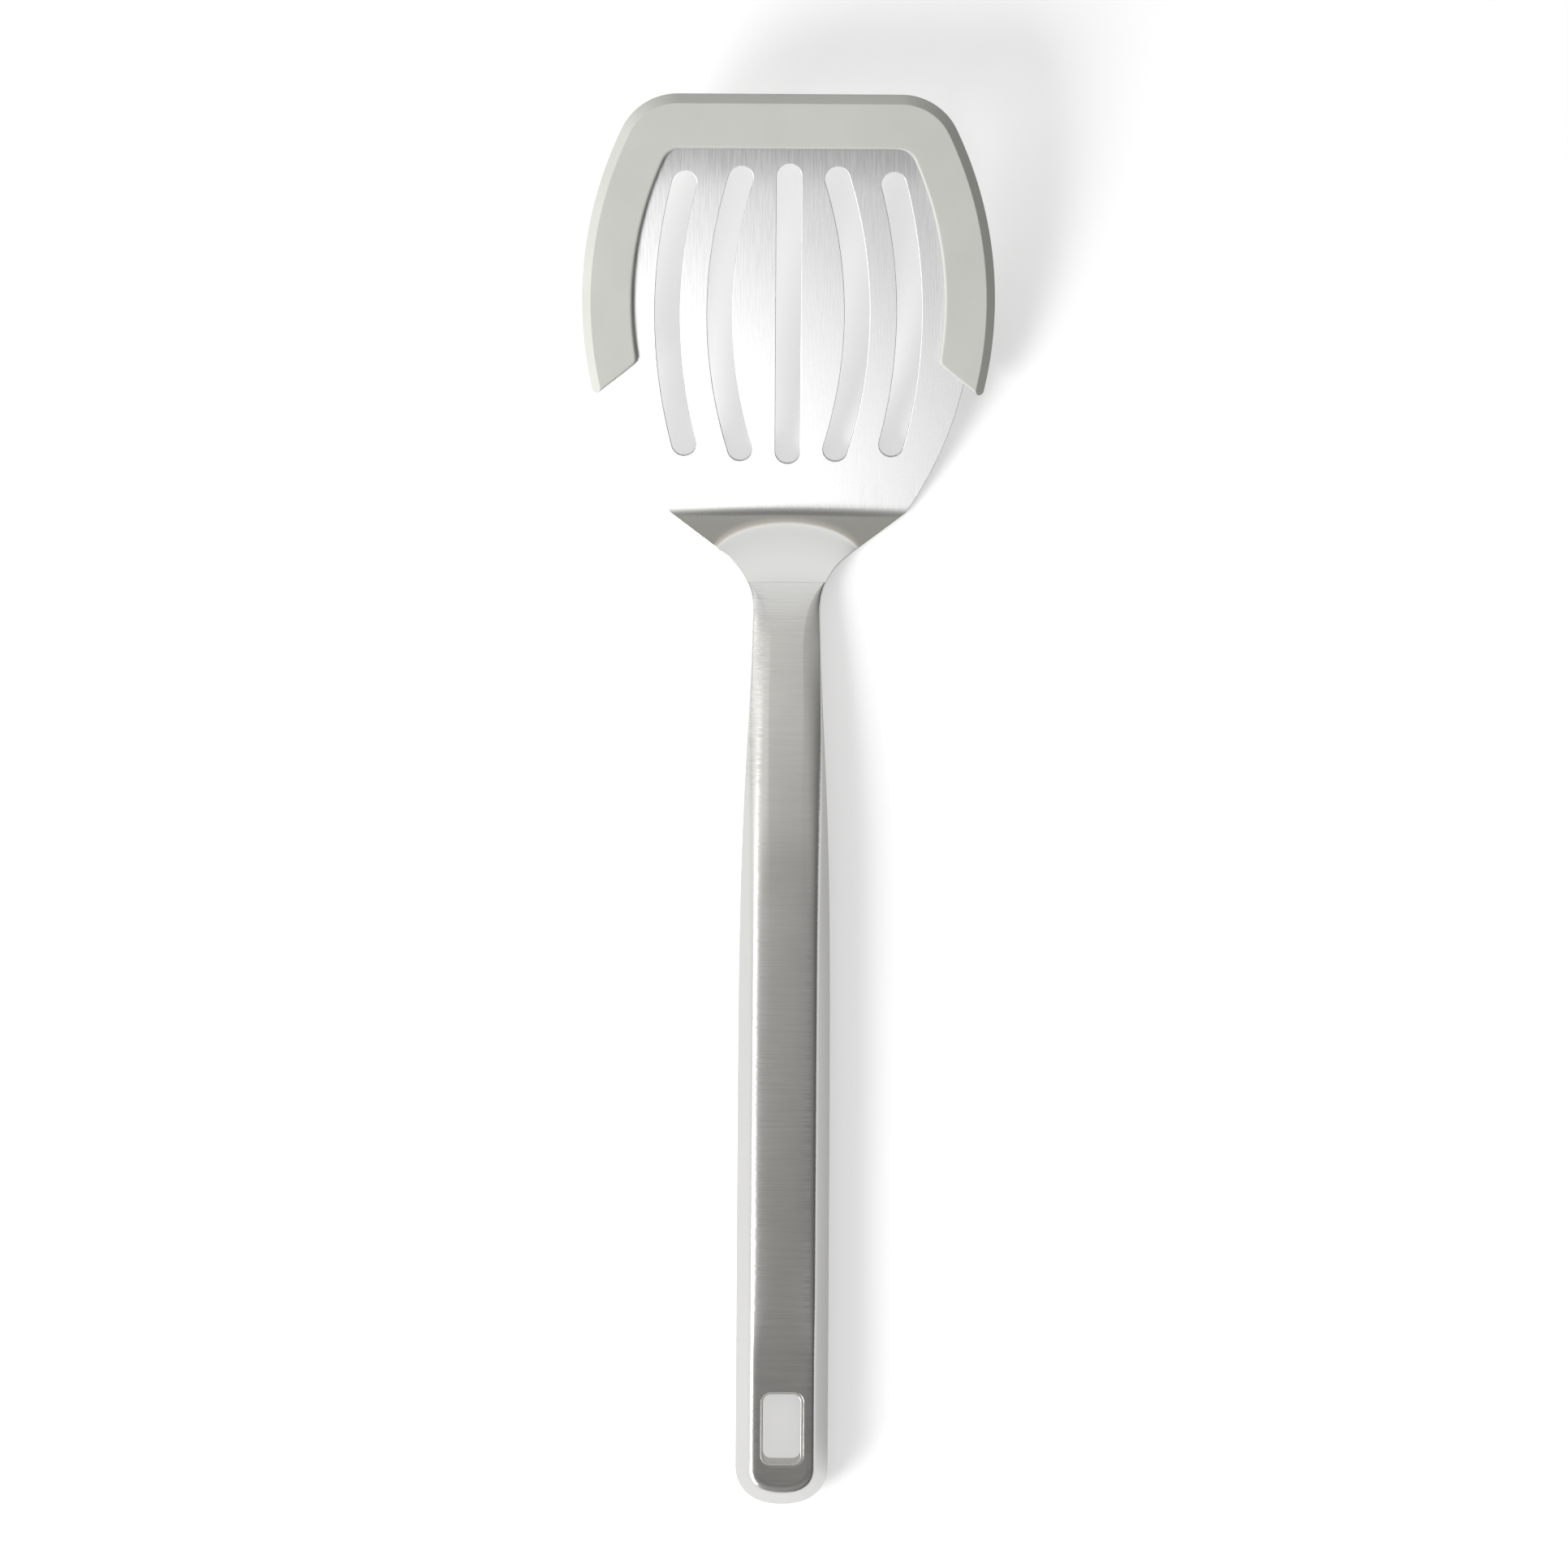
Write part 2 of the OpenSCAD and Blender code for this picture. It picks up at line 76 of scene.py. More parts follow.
# Slots. A bowed slot has its place across, its arc's radius, and how much sooner each end stops.
SLOT_WIDTH = 5.9
SLOT_START = 11.3
SLOT_TO_FRONT = 11.4
BOWED_SLOTS = {"inner": (16.2, 109, 0.6), "outer": (28.5, 124, 1.8)}

# Silicone edge
EDGE_OVERHANG = 5
EDGE_COVER_SIDE = 6.9
EDGE_COVER_FRONT = 7.7
EDGE_SKIN = 1.15
EDGE_BEVEL = 2.0
EDGE_NOSE_R = 0.25
EDGE_WINDOW_R = 4.5
EDGE_ROUND = 0.7
ARM_CORNER_AT = 35.8
ARM_CUT_SLOPE = radians(39)
ARM_CORNER_R = 2.6
ARM_TIP_R = 1.0
MOULD_GAP = 0.05

# Shoulder and neck
SHOULDER_RISE = radians(14)
SHOULDER_FLANK = radians(54)
HEEL_CORNER_R = 2
NECK_HOLLOW_R = 16
NECK_WIDTH = 16
SEAM_BACK = 6.3
ARCH_AT = 2.2
ARCH_HALF_WIDTH = 17.9
ARCH_LENGTH = 9.1
ARCH_SOFT = 0.9
CROWN_FADE = 16
TANG_WIDTH = 8.6
TANG_LENGTH = 26

# Handle. A bend joins a wall to the face and has a width across the face and a height down the wall.
HANDLE_LENGTH = 218
GRIP_WIDTH = 21.8
GRIP_DEPTH = 14
FRONT_SHELL_DEPTH = 8
WALL = 1
FRONT_DRAFT = 3.4
BACK_DRAFT = 3.2
GRIP_BEND_W = 4.4
GRIP_BEND_H = 1.5
GRIP_BEND_CRISPNESS = 1.7
END_BEND_W = 2.0
END_BEND_LENGTH = 16
NECK_DRAFT = 0.5
NECK_BEND_W = 3.9
NECK_BEND_SHARE = 0.5
NECK_BEND_FLATNESS = 0.85
DRAFT_POWER = 1.5
FACE_CROWN = 0.006
FACE_CROWN_FADE = 34
MOUTH_DRAFT = 0.1
MOUTH_BEND = 0.5
MOUTH_LENGTH = 17
SWELL_LENGTH = 46
SWELL_POWER = 1.8
END_ROUND = 9.5
END_POWER = 2.3
WELD_GAP = 0.1
WELD_EDGE_R = 0.12
LEAST_BEND = 0.2

# Hang hole
HOLE_WIDTH = 8.9
HOLE_LENGTH = 16.3
HOLE_CORNER_R = 1.9
HOLE_FROM_END = 10.3
FLAT_BEFORE_HOLE = 8
HOLE_RIM_R = 0.12
SLEEVE = 0.6
SLEEVE_GAP = 0.05
SLEEVE_RECESS = 0.1
SLEEVE_EDGE_R = 0.12

# Colours
BRUSHED_TONE = (0.72, 0.72, 0.72)
STREAK_TONE = (0.54, 0.54, 0.545)
POLISHED_TONE = (0.68, 0.68, 0.665)
# The darker, warmer band tone behind the heel line is a painted reflection on the polished steel.
BAND_REFLECTION_TONE = (0.6, 0.595, 0.54)
HANDLE_TONE = (0.665, 0.656, 0.622)
WALL_TONE = (0.62, 0.617, 0.603)
STROKE_TONE = (0.45, 0.45, 0.44)
# The brown tone along the arch is a painted reflection, not a colour of the steel.
ARCH_REFLECTION = (0.60, 0.49, 0.36)
SILICONE_TONES = ((0.49, 0.495, 0.457), (0.52, 0.525, 0.487))

# Grains, as waves a millimetre along X, Y and Z, and the range of noise over which a grain shows
PLATE_GRAIN = (2.8, 0.13, 0)
FINE_GRAIN = (0.12, 4.2, 0.4)
BROAD_GRAIN = (0.06, 0.6, 0)
PATCH_GRAIN = (0.05, 0.03, 0)
MARK_GRAIN = (0.22, 2.6, 0.3)
SLEEVE_GRAIN = (2.5, 2.5, 0.15)
CLOUD_GRAIN = (0.06, 0.06, 0.06)
SPECK_GRAIN = (7, 7, 7)
GRAIN_RANGE = (0.3, 0.7)

# Finish of the blade. Leans of the surface are slopes.
PLATE_ROUGHNESS = 0.38
PLATE_UNEVEN = 0.06
POLISHED_ROUGHNESS = 0.15
PLATE_CURVE = 0.0013
PLATE_CROSS_CURVE = 0.0012
PLATE_FRONT_ROLL = 0.11
ROLL_FROM_FRONT = (22, 6)
BRUSH_SPREAD = radians(16)
BRUSH_REACH = radians(24)
BRUSH_LEAN = 0.2
POLISH_LINE_AT = 1.0
POLISH_LINE_BOW = 0.0019
POLISH_LINE_JAG = 0.6
POLISH_FADE = (-2.6, 3.8)
# Where the painted darker band behind the heel line fades into the polished steel.
BAND_REFLECTION_FADE = (-1.0, 0.5)
# Where the painted brown reflection along the arch lies, how wide it is and how strongly it shows.
REFLECTION_BEFORE_ARCH = 0.2
REFLECTION_HALF_WIDTH = 0.9
REFLECTION_SHARE = 0.35

# Finish of the handle. A lobe is a share of the reflection and its lean along the handle in degrees.
HANDLE_ROUGHNESS = 0.16
CREASE_ROUGHNESS = 0.1
FLANK_ROUGHNESS = 0.06
BROAD_UNEVEN = 0.03
PATCH_UNEVEN = 0.05
HANDLE_LOBES = ((0.06, -16), (0.06, -8), (0.8, 0), (0.06, 8))
FACE_SCRATCH = 0.009
CREASE_SCRATCH = 0.25
CREASE_LEAN = 0.4
BRUSHING_FROM_SEAM = (2, -12)
BRUSHING_JAG = 6
FLANK_FROM_MIDDLE = (3.8, 5.6)
FLANK_JAG = 5
MARKS_FROM_HEEL = (75, 50)
MARK_LEAN = 0.3
STROKE_RANGE = (0.58, 0.4)
STROKE_SHARE = 0.6
WALL_FADE_END = 0.9
WALL_FADE = 0.5
SLEEVE_ROUGHNESS = 0.3
SLEEVE_UNEVEN = 0.12

# Finish of the silicone
SILICONE_ROUGHNESS = 0.52
SILICONE_UNEVEN = 0.14
SILICONE_IOR = 1.41
SPECK_DEPTH = 0.04
SPECK_STRENGTH = 0.12

# Studio, in metres. The sky goes by the angle from overhead in degrees, along the turner to its front and
# across it to the right.
TABLE_TONE = 0.64
TABLE_GLOW = 0.46
TABLE_SHINE = 0.33
SKY_ALONG = ((-86, 0.75), (-60, 0.27), (-22, 0.46), (-6, 0.12), (-1, 0.66), (1, 0.66), (2.5, 0.42),
             (8, 0.72), (21, 0.82), (28, 1.14), (42, 0.76), (60, 0.45))
SKY_ACROSS = ((-70, 1.35), (-40, 1.02), (-20, 0.97), (-8, 0.98), (8, 0.8), (25, 0.74), (45, 0.5), (70, 0.26))
SKY_LEFT = 0.6
LEFT_FADE = (-4, -34)
OVERHEAD_FADE = (20, 9)
FRONT_FADE_ALONG = (12, 27)
FRONT_FADE_ACROSS = (45, 15)
KEY_LAMP = {"way": (-0.7, -0.48, 0.53), "distance": 1.1, "size": 0.54, "power": 14.2}

# Places worked out from the sizes above
BEND_OUT_R = HEEL_BEND_R + STEEL
BEND_TOP_Z = BEND_OUT_R - HEEL_BEND_R * cos(SHOULDER_RISE)
RISE_R = (GRIP_DEPTH - BEND_TOP_Z) / (1 - cos(SHOULDER_RISE))
LEVEL_U = HEEL_BEND_R * sin(SHOULDER_RISE) + RISE_R * sin(SHOULDER_RISE)
SIDE_CENTRE = array([BLADE_WIDTH / 2 - BLADE_SIDE_R, BLADE_WIDEST_AT])
HEEL_HALF_WIDTH = sqrt(BLADE_SIDE_R ** 2 - BLADE_WIDEST_AT ** 2) + SIDE_CENTRE[0]
HOLLOW_X = NECK_WIDTH / 2 + NECK_HOLLOW_R
NECK_U = (NECK_HOLLOW_R - (HOLLOW_X - HEEL_HALF_WIDTH) * cos(SHOULDER_FLANK)) / sin(SHOULDER_FLANK)
SEAM_U = NECK_U - SEAM_BACK
END_U = SEAM_U + HANDLE_LENGTH
END_START_U = END_U - END_ROUND
HEEL_Y = cad_box[0].y / MM + END_U
BEND_RUN = HEEL_BEND_R * BLADE_TILT
BLADE_UP = array([0, -sin(BLADE_TILT), cos(BLADE_TILT)])
EDGE_HALF = STEEL / 2 + EDGE_SKIN
HOLE_MID_U = END_U - HOLE_FROM_END - HOLE_LENGTH / 2
FLAT_END_U = END_U - HOLE_FROM_END - HOLE_LENGTH - FLAT_BEFORE_HOLE


def blend(a, b, t):
    """The value a share t of the way from a to b."""
    return a + (b - a) * t


def ease(t):
    """Goes from 0 to 1 as t does, by a cubic that is level at both ends."""
    t = clip(t, 0, 1)
    return t * t * (3 - 2 * t)


def unit(v):
    """Vectors scaled to length 1."""
    least = 1e-12
    return v / maximum(np.linalg.norm(v, axis=-1, keepdims=True), least)


def direction(a):
    """The direction at an angle, or the directions at several."""
    return stack([cos(a), sin(a)], -1)


def quarter_round(r, count):
    """A quarter of a circle from its level end: distances in from its upright side and down from its level
    side, and the outward and upward parts of its normals."""
    a = linspace(0, pi / 2, count)
    return stack([r * (1 - sin(a)), r * (1 - cos(a)), sin(a), cos(a)])


def arc(middle, r, start, end, count):
    """Points on a circle about middle, and the directions from the middle to them, between two angles."""
    out = direction(linspace(start, end, count))
    return np.asarray(middle) + r * out, out


def mirror_x(points):
    """The mirror image at the left of points at the right."""
    return points * array([-1] + [1] * (points.shape[-1] - 1))


class Skin:
    """Collects the patches of one piece, turns their triangles outwards and welds them where their points
    meet."""

    def __init__(self):
        self.points, self.normals, self.walls, self.triangles, self.count = [], [], [], [], 0

    def patch(self, points, normals, triangles, wall=0.0):
        """Adds triangles over a list of points. A triangle that faces against its normals is turned over."""
        points = np.asarray(points, float).reshape(-1, 3)
        normals = broadcast_to(normals, points.shape)
        a, b, c = (points[triangles[:, k]] for k in range(3))
        facing = np.einsum("ij,ij->i", np.cross(b - a, c - a), normals[triangles].sum(1))
        triangles = np.where(facing[:, None] < 0, triangles[:, ::-1], triangles)
        self.points.append(points)
        self.normals.append(normals)
        self.walls.append(broadcast_to(np.asarray(wall, float).reshape(-1), len(points)))
        self.triangles.append(triangles + self.count)
        self.count += len(points)

    def grid(self, points, normals, wall=0.0):
        """Adds a grid of points, rows by columns, as two triangles a cell."""
        rows, columns = points.shape[:2]
        at = np.arange(rows * columns).reshape(rows, columns)
        a, b, c, d = at[:-1, :-1], at[1:, :-1], at[1:, 1:], at[:-1, 1:]
        triangles = stack([stack([a, b, c], -1), stack([a, c, d], -1)]).reshape(-1, 3)
        self.patch(points, broadcast_to(normals, points.shape).reshape(-1, 3), triangles, wall)

    def piece(self, name, node, material, slot):
        """Makes the object: equal points become one, empty triangles go, and each point keeps its own
        normal."""
        points, normals = join(self.points), unit(join(self.normals))
        # Points in one cell are one, and the shift keeps round numbers off the cells' edges
        weld, shift = 0.0004, 0.000137
        cells = np.round((points + shift) / weld)
        _, first, number = np.unique(cells, axis=0, return_index=True, return_inverse=True)
        triangles = number.reshape(-1)[join(self.triangles)]
        a, b, c = triangles.T
        triangles = triangles[(a != b) & (b != c) & (c != a)]
        mesh = bpy.data.meshes.new(name)
        mesh.from_pydata((points[first] * MM).tolist(), [], triangles.tolist())
        wall = mesh.attributes.new("wall", "FLOAT", "POINT")
        wall.data.foreach_set("value", join(self.walls)[first])
        mesh.shade_smooth()
        mesh.normals_split_custom_set_from_vertices(normals[first].tolist())
        mesh.materials.append(material)
        piece = bpy.data.objects.new(name, mesh)
        bpy.context.scene.collection.objects.link(piece)
        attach(piece, "root")
        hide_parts(node)
        return piece


def grid_normals(points, towards):
    """Normals of a grid from the slopes of its rows and columns, on the side that a rough direction
    names."""
    rows, columns = np.gradient(points, axis=0), np.gradient(points, axis=1)
    n = unit(np.cross(rows, columns))
    return n * np.where(np.einsum("ijk,ijk->ij", n, broadcast_to(towards, n.shape)) < 0, -1, 1)[..., None]


def fill(loops):
    """Triangles of the flat face between an outer loop and its holes, numbered through all the loops. A
    triangle stays if a line from its middle crosses the loops an odd number of times."""
    points = join(loops)
    ends = np.cumsum([len(loop) for loop in loops])
    after = np.arange(len(points)) + 1
    after[ends - 1] = join([[0], ends[:-1]])
    edges = stack([np.arange(len(points)), after], 1)
    nearest = 1e-6
    made = delaunay_2d_cdt([Vector(p) for p in points.tolist()], edges.tolist(), [], 1, nearest)
    triangles = array(made[2])
    mid = points[triangles].mean(1)[:, None]
    a, b = points[edges[:, 0]][None], points[edges[:, 1]][None]
    spans = (a[..., 1] > mid[..., 1]) != (b[..., 1] > mid[..., 1])
    rise = np.where(spans, b[..., 1] - a[..., 1], 1)
    right = mid[..., 0] < a[..., 0] + (b[..., 0] - a[..., 0]) * (mid[..., 1] - a[..., 1]) / rise
    return triangles[(spans & right).sum(1) % 2 == 1]


def front_line(u):
    """Height of the handle's front: an arc that rises from the heel and levels out at the grip's depth."""
    return GRIP_DEPTH - RISE_R + sqrt(RISE_R ** 2 - maximum(LEVEL_U - u, 0) ** 2)


def neck_rise(x, u):
    """Height of the shoulder above the level heel. The sheet stays level up to an arched line, half an
    ellipse across the shoulder, and then rises with a slope that eases towards the seam."""
    widest = 0.97
    share = clip(np.abs(x) / ARCH_HALF_WIDTH, 0, widest)
    past_arch = u - ARCH_AT - ARCH_LENGTH * (1 - sqrt(1 - share ** 2))
    run = (past_arch + sqrt(past_arch ** 2 + ARCH_SOFT ** 2)) / 2
    seam_run = SEAM_U - ARCH_AT
    seam_slope = (LEVEL_U - SEAM_U) / sqrt(RISE_R ** 2 - (LEVEL_U - SEAM_U) ** 2)
    first_slope = 2 * (front_line(SEAM_U) - STEEL) / seam_run - seam_slope
    return run * first_slope - run ** 2 * (first_slope - seam_slope) / seam_run / 2


def top_height(x, u):
    """Height of the upper surface: the tilted plate, the heel bend, the shoulder, and behind the seam the
    handle's front. There the shoulder's crown fades out and a slight crown across the grip fades in, which
    is gone again at the hang hole."""
    # The plate lies where the CAD's bend leaves it, and the bend that shows is softer
    fold_u = -HEEL_BEND_R * tan(BLADE_TILT / 2)
    bend_u = fold_u + HEEL_SOFT_R * tan(BLADE_TILT / 2)
    plate_u = bend_u - HEEL_SOFT_R * sin(BLADE_TILT)
    plate = STEEL + (fold_u - u) * tan(BLADE_TILT)
    bend = STEEL + HEEL_SOFT_R - sqrt(HEEL_SOFT_R ** 2 - (bend_u - clip(u, plate_u, bend_u)) ** 2)
    crown = neck_rise(0, SEAM_U) - neck_rise(x, SEAM_U)
    neck_share = 1 - ease((u - SEAM_U) / CROWN_FADE)
    grip_share = (1 - neck_share) * ease((FLAT_END_U - u) / FACE_CROWN_FADE)
    handle = front_line(u) - crown * neck_share - FACE_CROWN * x ** 2 * grip_share
    seam_step = front_line(SEAM_U) - STEEL - neck_rise(0, SEAM_U)
    shoulder = STEEL + (neck_rise(x, u) + seam_step * ease(u / SEAM_U)) * ease((u - plate_u) / ARCH_AT)
    sheet = np.where(u < plate_u, plate, bend + shoulder - STEEL)
    return np.where(u < SEAM_U, sheet, handle)


def top_normal(x, u):
    """Upward normals of the upper surface, from its slopes."""
    step = 0.004
    along_x = (top_height(x + step, u) - top_height(x - step, u)) / (2 * step)
    along_u = (top_height(x, u + step) - top_height(x, u - step)) / (2 * step)
    return unit(stack(np.broadcast_arrays(-along_x, along_u, 1.0), -1))


def sheet_frame(x, q):
    """Place on the sheet's upper face and the directions across it, along it to the front and up from it. q
    runs along the sheet: p on the plate, back round the heel bend, then u on the shoulder, counted down."""
    bend_angle = BLADE_TILT * (1 + clip(q, -BEND_RUN, 0) / BEND_RUN)
    on_plate = maximum(q, 0) * cos(BLADE_TILT)
    u = -HEEL_BEND_R * sin(bend_angle) - on_plate - minimum(q + BEND_RUN, 0)
    x, u = np.broadcast_arrays(x, u)
    up = top_normal(x, u)
    along = unit(stack([np.zeros_like(x), up[..., 2], -up[..., 1]], -1))
    return stack([x, HEEL_Y - u, top_height(x, u)], -1), np.cross(along, up), along, up


def on_sheet(x, q, h):
    """A point at height h above the sheet's underside, along the upper face's normal."""
    place, _, _, up = sheet_frame(x, q)
    return place - (STEEL - np.asarray(h))[..., None] * up


def on_blade(x, p, h):
    """A point on the tilted blade: p along it, h up from its underside."""
    x, p, h = np.broadcast_arrays(x, p, h)
    y = HEEL_Y + BEND_OUT_R * sin(BLADE_TILT) + p * cos(BLADE_TILT) - h * sin(BLADE_TILT)
    z = BEND_OUT_R * (1 - cos(BLADE_TILT)) + p * sin(BLADE_TILT) + h * cos(BLADE_TILT)
    return stack([x, y, z], -1)


def cut_edge():
    """Profile of the sheet's cut edge from the upper to the lower face: two quarter rounds with a wall
    between. Columns are the distance in from the outline, the height, and the normal's outward and upward
    parts."""
    inward, below, out, up = quarter_round(CUT_EDGE_R, 6)
    top = stack([inward, STEEL - below, out, up], 1)
    low = top[::-1] * [1, -1, 1, -1] + [0, STEEL, 0, 0]
    return join([top, low])


def rim(skin, points, normals):
    """The cut edge carried along an outline of the sheet, given as x and q with the outward directions."""
    inward, height, out, up = cut_edge().T
    x, q = np.moveaxis(points[:, None] - inward[:, None] * normals[:, None], -1, 0)
    _, cross, along, lift = sheet_frame(x, q)
    sideways = normals[:, None, :1] * cross + normals[:, None, 1:] * along
    skin.grid(on_sheet(x, q, broadcast_to(height, x.shape)), out[:, None] * sideways + up[:, None] * lift)


def corner_middle(side_in, front_in, r):
    """Middle of the round front corner of an outline that lies inside the steel's edge."""
    p = BLADE_LENGTH - front_in - r
    reach = sqrt((BLADE_SIDE_R - side_in - r) ** 2 - (p - SIDE_CENTRE[1]) ** 2)
    return stack([reach + SIDE_CENTRE[0], p], -1)


def plate_outline(split_p):
    """Right half of the plate's edge from the middle of the front: a line, the round corner and the bowed
    side down to split_p. Returns points and outward directions."""
    mid = corner_middle(0, 0, BLADE_CORNER_R)
    corner_from = np.arctan2(*(mid - SIDE_CENTRE)[::-1])
    steps = 8
    line = stack([linspace(0, mid[0], steps, endpoint=False), np.full(steps, BLADE_LENGTH)], 1)
    corner, corner_out = arc(mid, BLADE_CORNER_R, pi / 2, corner_from, 24)
    side_end = np.arcsin((split_p - SIDE_CENTRE[1]) / BLADE_SIDE_R)
    side, side_out = arc(SIDE_CENTRE, BLADE_SIDE_R, corner_from, side_end, 60)
    line_out = np.tile([0, 1], (steps, 1))
    return join([line, corner, side[1:]]), join([line_out, corner_out, side_out[1:]])


def shoulder_outline(split_p):
    """Right half of the shoulder's edge from split_p on the plate to the seam: the end of the bowed side, a
    small round at the heel's corner, the sloping flank and the hollow of the neck."""
    out = array([cos(SHOULDER_FLANK), -sin(SHOULDER_FLANK)])
    reach = BLADE_SIDE_R - HEEL_CORNER_R
    flank_at = array([HEEL_HALF_WIDTH, -BEND_RUN / 2])
    turn = np.arccos(((flank_at - SIDE_CENTRE) @ out - HEEL_CORNER_R) / reach) - SHOULDER_FLANK
    side_from = np.arcsin((split_p - SIDE_CENTRE[1]) / BLADE_SIDE_R)
    side, side_out = arc(SIDE_CENTRE, BLADE_SIDE_R, side_from, turn, 6)
    corner_mid = SIDE_CENTRE + reach * direction(turn)
    corner, corner_out = arc(corner_mid, HEEL_CORNER_R, turn, -SHOULDER_FLANK, 12)
    hollow_mid = array([HOLLOW_X, -NECK_U - BEND_RUN])
    seam_angle = pi - np.arcsin(SEAM_BACK / NECK_HOLLOW_R)
    hollow, to_hollow = arc(hollow_mid, NECK_HOLLOW_R, pi - SHOULDER_FLANK, seam_angle, 26)
    flank = blend(corner[-1], hollow[0], linspace(0, 1, 40)[1:-1, None])
    flank_out = np.tile(out, (len(flank), 1))
    return join([side, corner[1:], flank, hollow]), join([side_out, corner_out[1:], flank_out, -to_hollow])


def slot_loops():
    """The five slots as closed loops of points and of directions out of the steel. The middle one has
    straight sides and round ends, and the others follow arcs whose ends are round."""
    r = SLOT_WIDTH / 2
    length = BLADE_LENGTH - SLOT_START - SLOT_TO_FRONT
    mid = SLOT_START + length / 2
    run = length / 2 - r
    top, top_out = arc([0, mid + run], r, 0, pi, 25)
    low, low_out = arc([0, mid - run], r, pi, 2 * pi, 25)
    loops = [(join([top, low]), -join([top_out, low_out]))]
    for x, bow_r, short in BOWED_SLOTS.values():
        half = np.arcsin((run - short) / bow_r)
        centre = array([x - bow_r, mid])
        outer, outer_out = arc(centre, bow_r + r, -half, half, 40)
        inner, inner_out = arc(centre, bow_r - r, half, -half, 40)
        far, far_out = arc(centre + bow_r * direction(half), r, half, half + pi, 25)
        near, near_out = arc(centre + bow_r * direction(-half), r, pi - half, 2 * pi - half, 25)
        points = join([outer[:-1], far, inner[1:-1], near[:-1]])
        out = -join([outer_out[:-1], far_out, -inner_out[1:-1], near_out[:-1]])
        loops += [(points, out), (mirror_x(points), mirror_x(out))]
    return loops


def closed(loop):
    """A loop with its first point repeated at its end."""
    return join([loop, loop[:1]])


def blade_sheet():
    """One sheet of steel: flat faces between the plate's edge and the slots, rows across the bend and
    shoulder, the tang inside the handle, and the cut edge carried along every outline."""
    skin = Skin()
    split_p = 1.6
    columns = 96
    right, right_out = plate_outline(split_p)
    edge = join([right[::-1], mirror_x(right)[1:]])
    edge_out = join([right_out[::-1], mirror_x(right_out)[1:]])
    slots = slot_loops()
    rim(skin, edge, edge_out)
    for points, out in slots:
        rim(skin, closed(points), closed(out))
    flank, flank_out = shoulder_outline(split_p)
    rim(skin, flank, flank_out)
    rim(skin, mirror_x(flank), mirror_x(flank_out))

    inner = edge - CUT_EDGE_R * edge_out
    across = linspace(-1, 1, columns + 1)
    row = stack([across * inner[0, 0], np.full(columns + 1, inner[0, 1])], 1)
    loops = [join([inner, row[1:-1]])] + [points - CUT_EDGE_R * out for points, out in slots]
    triangles = fill(loops)
    x, p = join(loops).T
    skin.patch(on_blade(x, p, STEEL), BLADE_UP, triangles)
    skin.patch(on_blade(x, p, 0), -BLADE_UP, triangles)

    row_end = flank - CUT_EDGE_R * flank_out
    x, q = row_end[:, :1] * across, broadcast_to(row_end[:, 1:], (len(row_end), columns + 1))
    up = sheet_frame(x, q)[3]
    skin.grid(on_sheet(x, q, np.full(x.shape, STEEL)), up)
    skin.grid(on_sheet(x, q, np.zeros(x.shape)), -up)
    tang(skin, flank[-1], flank_out[-1], across)
    return skin.piece("blade_sheet", "blade", brushed_blade_steel(), "blade_steel")


def tang(skin, seam, seam_out, across):
    """The sheet behind the seam, as loops round its section: the sheet's end at the seam, a smaller loop
    inside it, and others that follow the handle's front line below its skin, the last one capped."""
    inward, height = cut_edge()[:, :2].T
    first = seam - inward[:, None] * seam_out
    step, core = 0.6, 0.2
    u = join([[SEAM_U, SEAM_U], linspace(SEAM_U + step, SEAM_U + TANG_LENGTH, 16)])
    edge_x = np.tile(TANG_WIDTH / 2 - inward, (len(u), 1))
    edge_q = np.tile(-u[:, None] - BEND_RUN, len(inward))
    edge_x[0], edge_q[0] = first.T
    top_x, top_q = edge_x[:, :1] * across[::-1], np.tile(edge_q[:, :1], len(across))
    low_x, low_q = edge_x[:, -1:] * across, np.tile(edge_q[:, -1:], len(across))
    x = join([top_x[:, ::-1], edge_x[:, 1:-1], low_x[:, ::-1], -edge_x[:, -2::-1]], 1)
    q = join([top_q, edge_q[:, 1:-1], low_q, edge_q[:, -2::-1]], 1)
    top_h, low_h = np.full(len(across), STEEL), np.zeros(len(across))
    loop_h = join([top_h, height[1:-1], low_h, height[-2::-1]])
    drop = WALL + 2 * WELD_GAP
    h = stack([loop_h, STEEL * (1 - core) / 2 + loop_h * core] + [loop_h - drop] * (len(u) - 2))
    points = on_sheet(x, q, h)
    skin.grid(points[:2], array([0, -1.0, 0]))
    rest = points[1:]
    skin.grid(rest, grid_normals(rest, rest - rest.mean(1, keepdims=True)))
    cap = points[-1, :-1]
    skin.patch(cap, array([0, -1.0, 0]), fill([cap[:, [0, 2]]]))


def bevel_height(e):
    """Height above the sheet's middle of the silicone's upper face at a distance e in from its outer edge: a
    small round nose, then a straight bevel, then level."""
    slope = (EDGE_HALF - EDGE_NOSE_R) / (EDGE_BEVEL - EDGE_NOSE_R / 2)
    nose = sqrt(maximum(EDGE_NOSE_R ** 2 - maximum(EDGE_NOSE_R - e, 0) ** 2, 0))
    return minimum(nose + maximum(e - EDGE_NOSE_R / 2, 0) * slope, EDGE_HALF)


def edge_drop(d):
    """How far the upper face drops in a quarter round at a distance d in from the window or from an arm's
    end."""
    return EDGE_ROUND - sqrt(EDGE_ROUND ** 2 - clip(EDGE_ROUND - d, 0, EDGE_ROUND) ** 2)


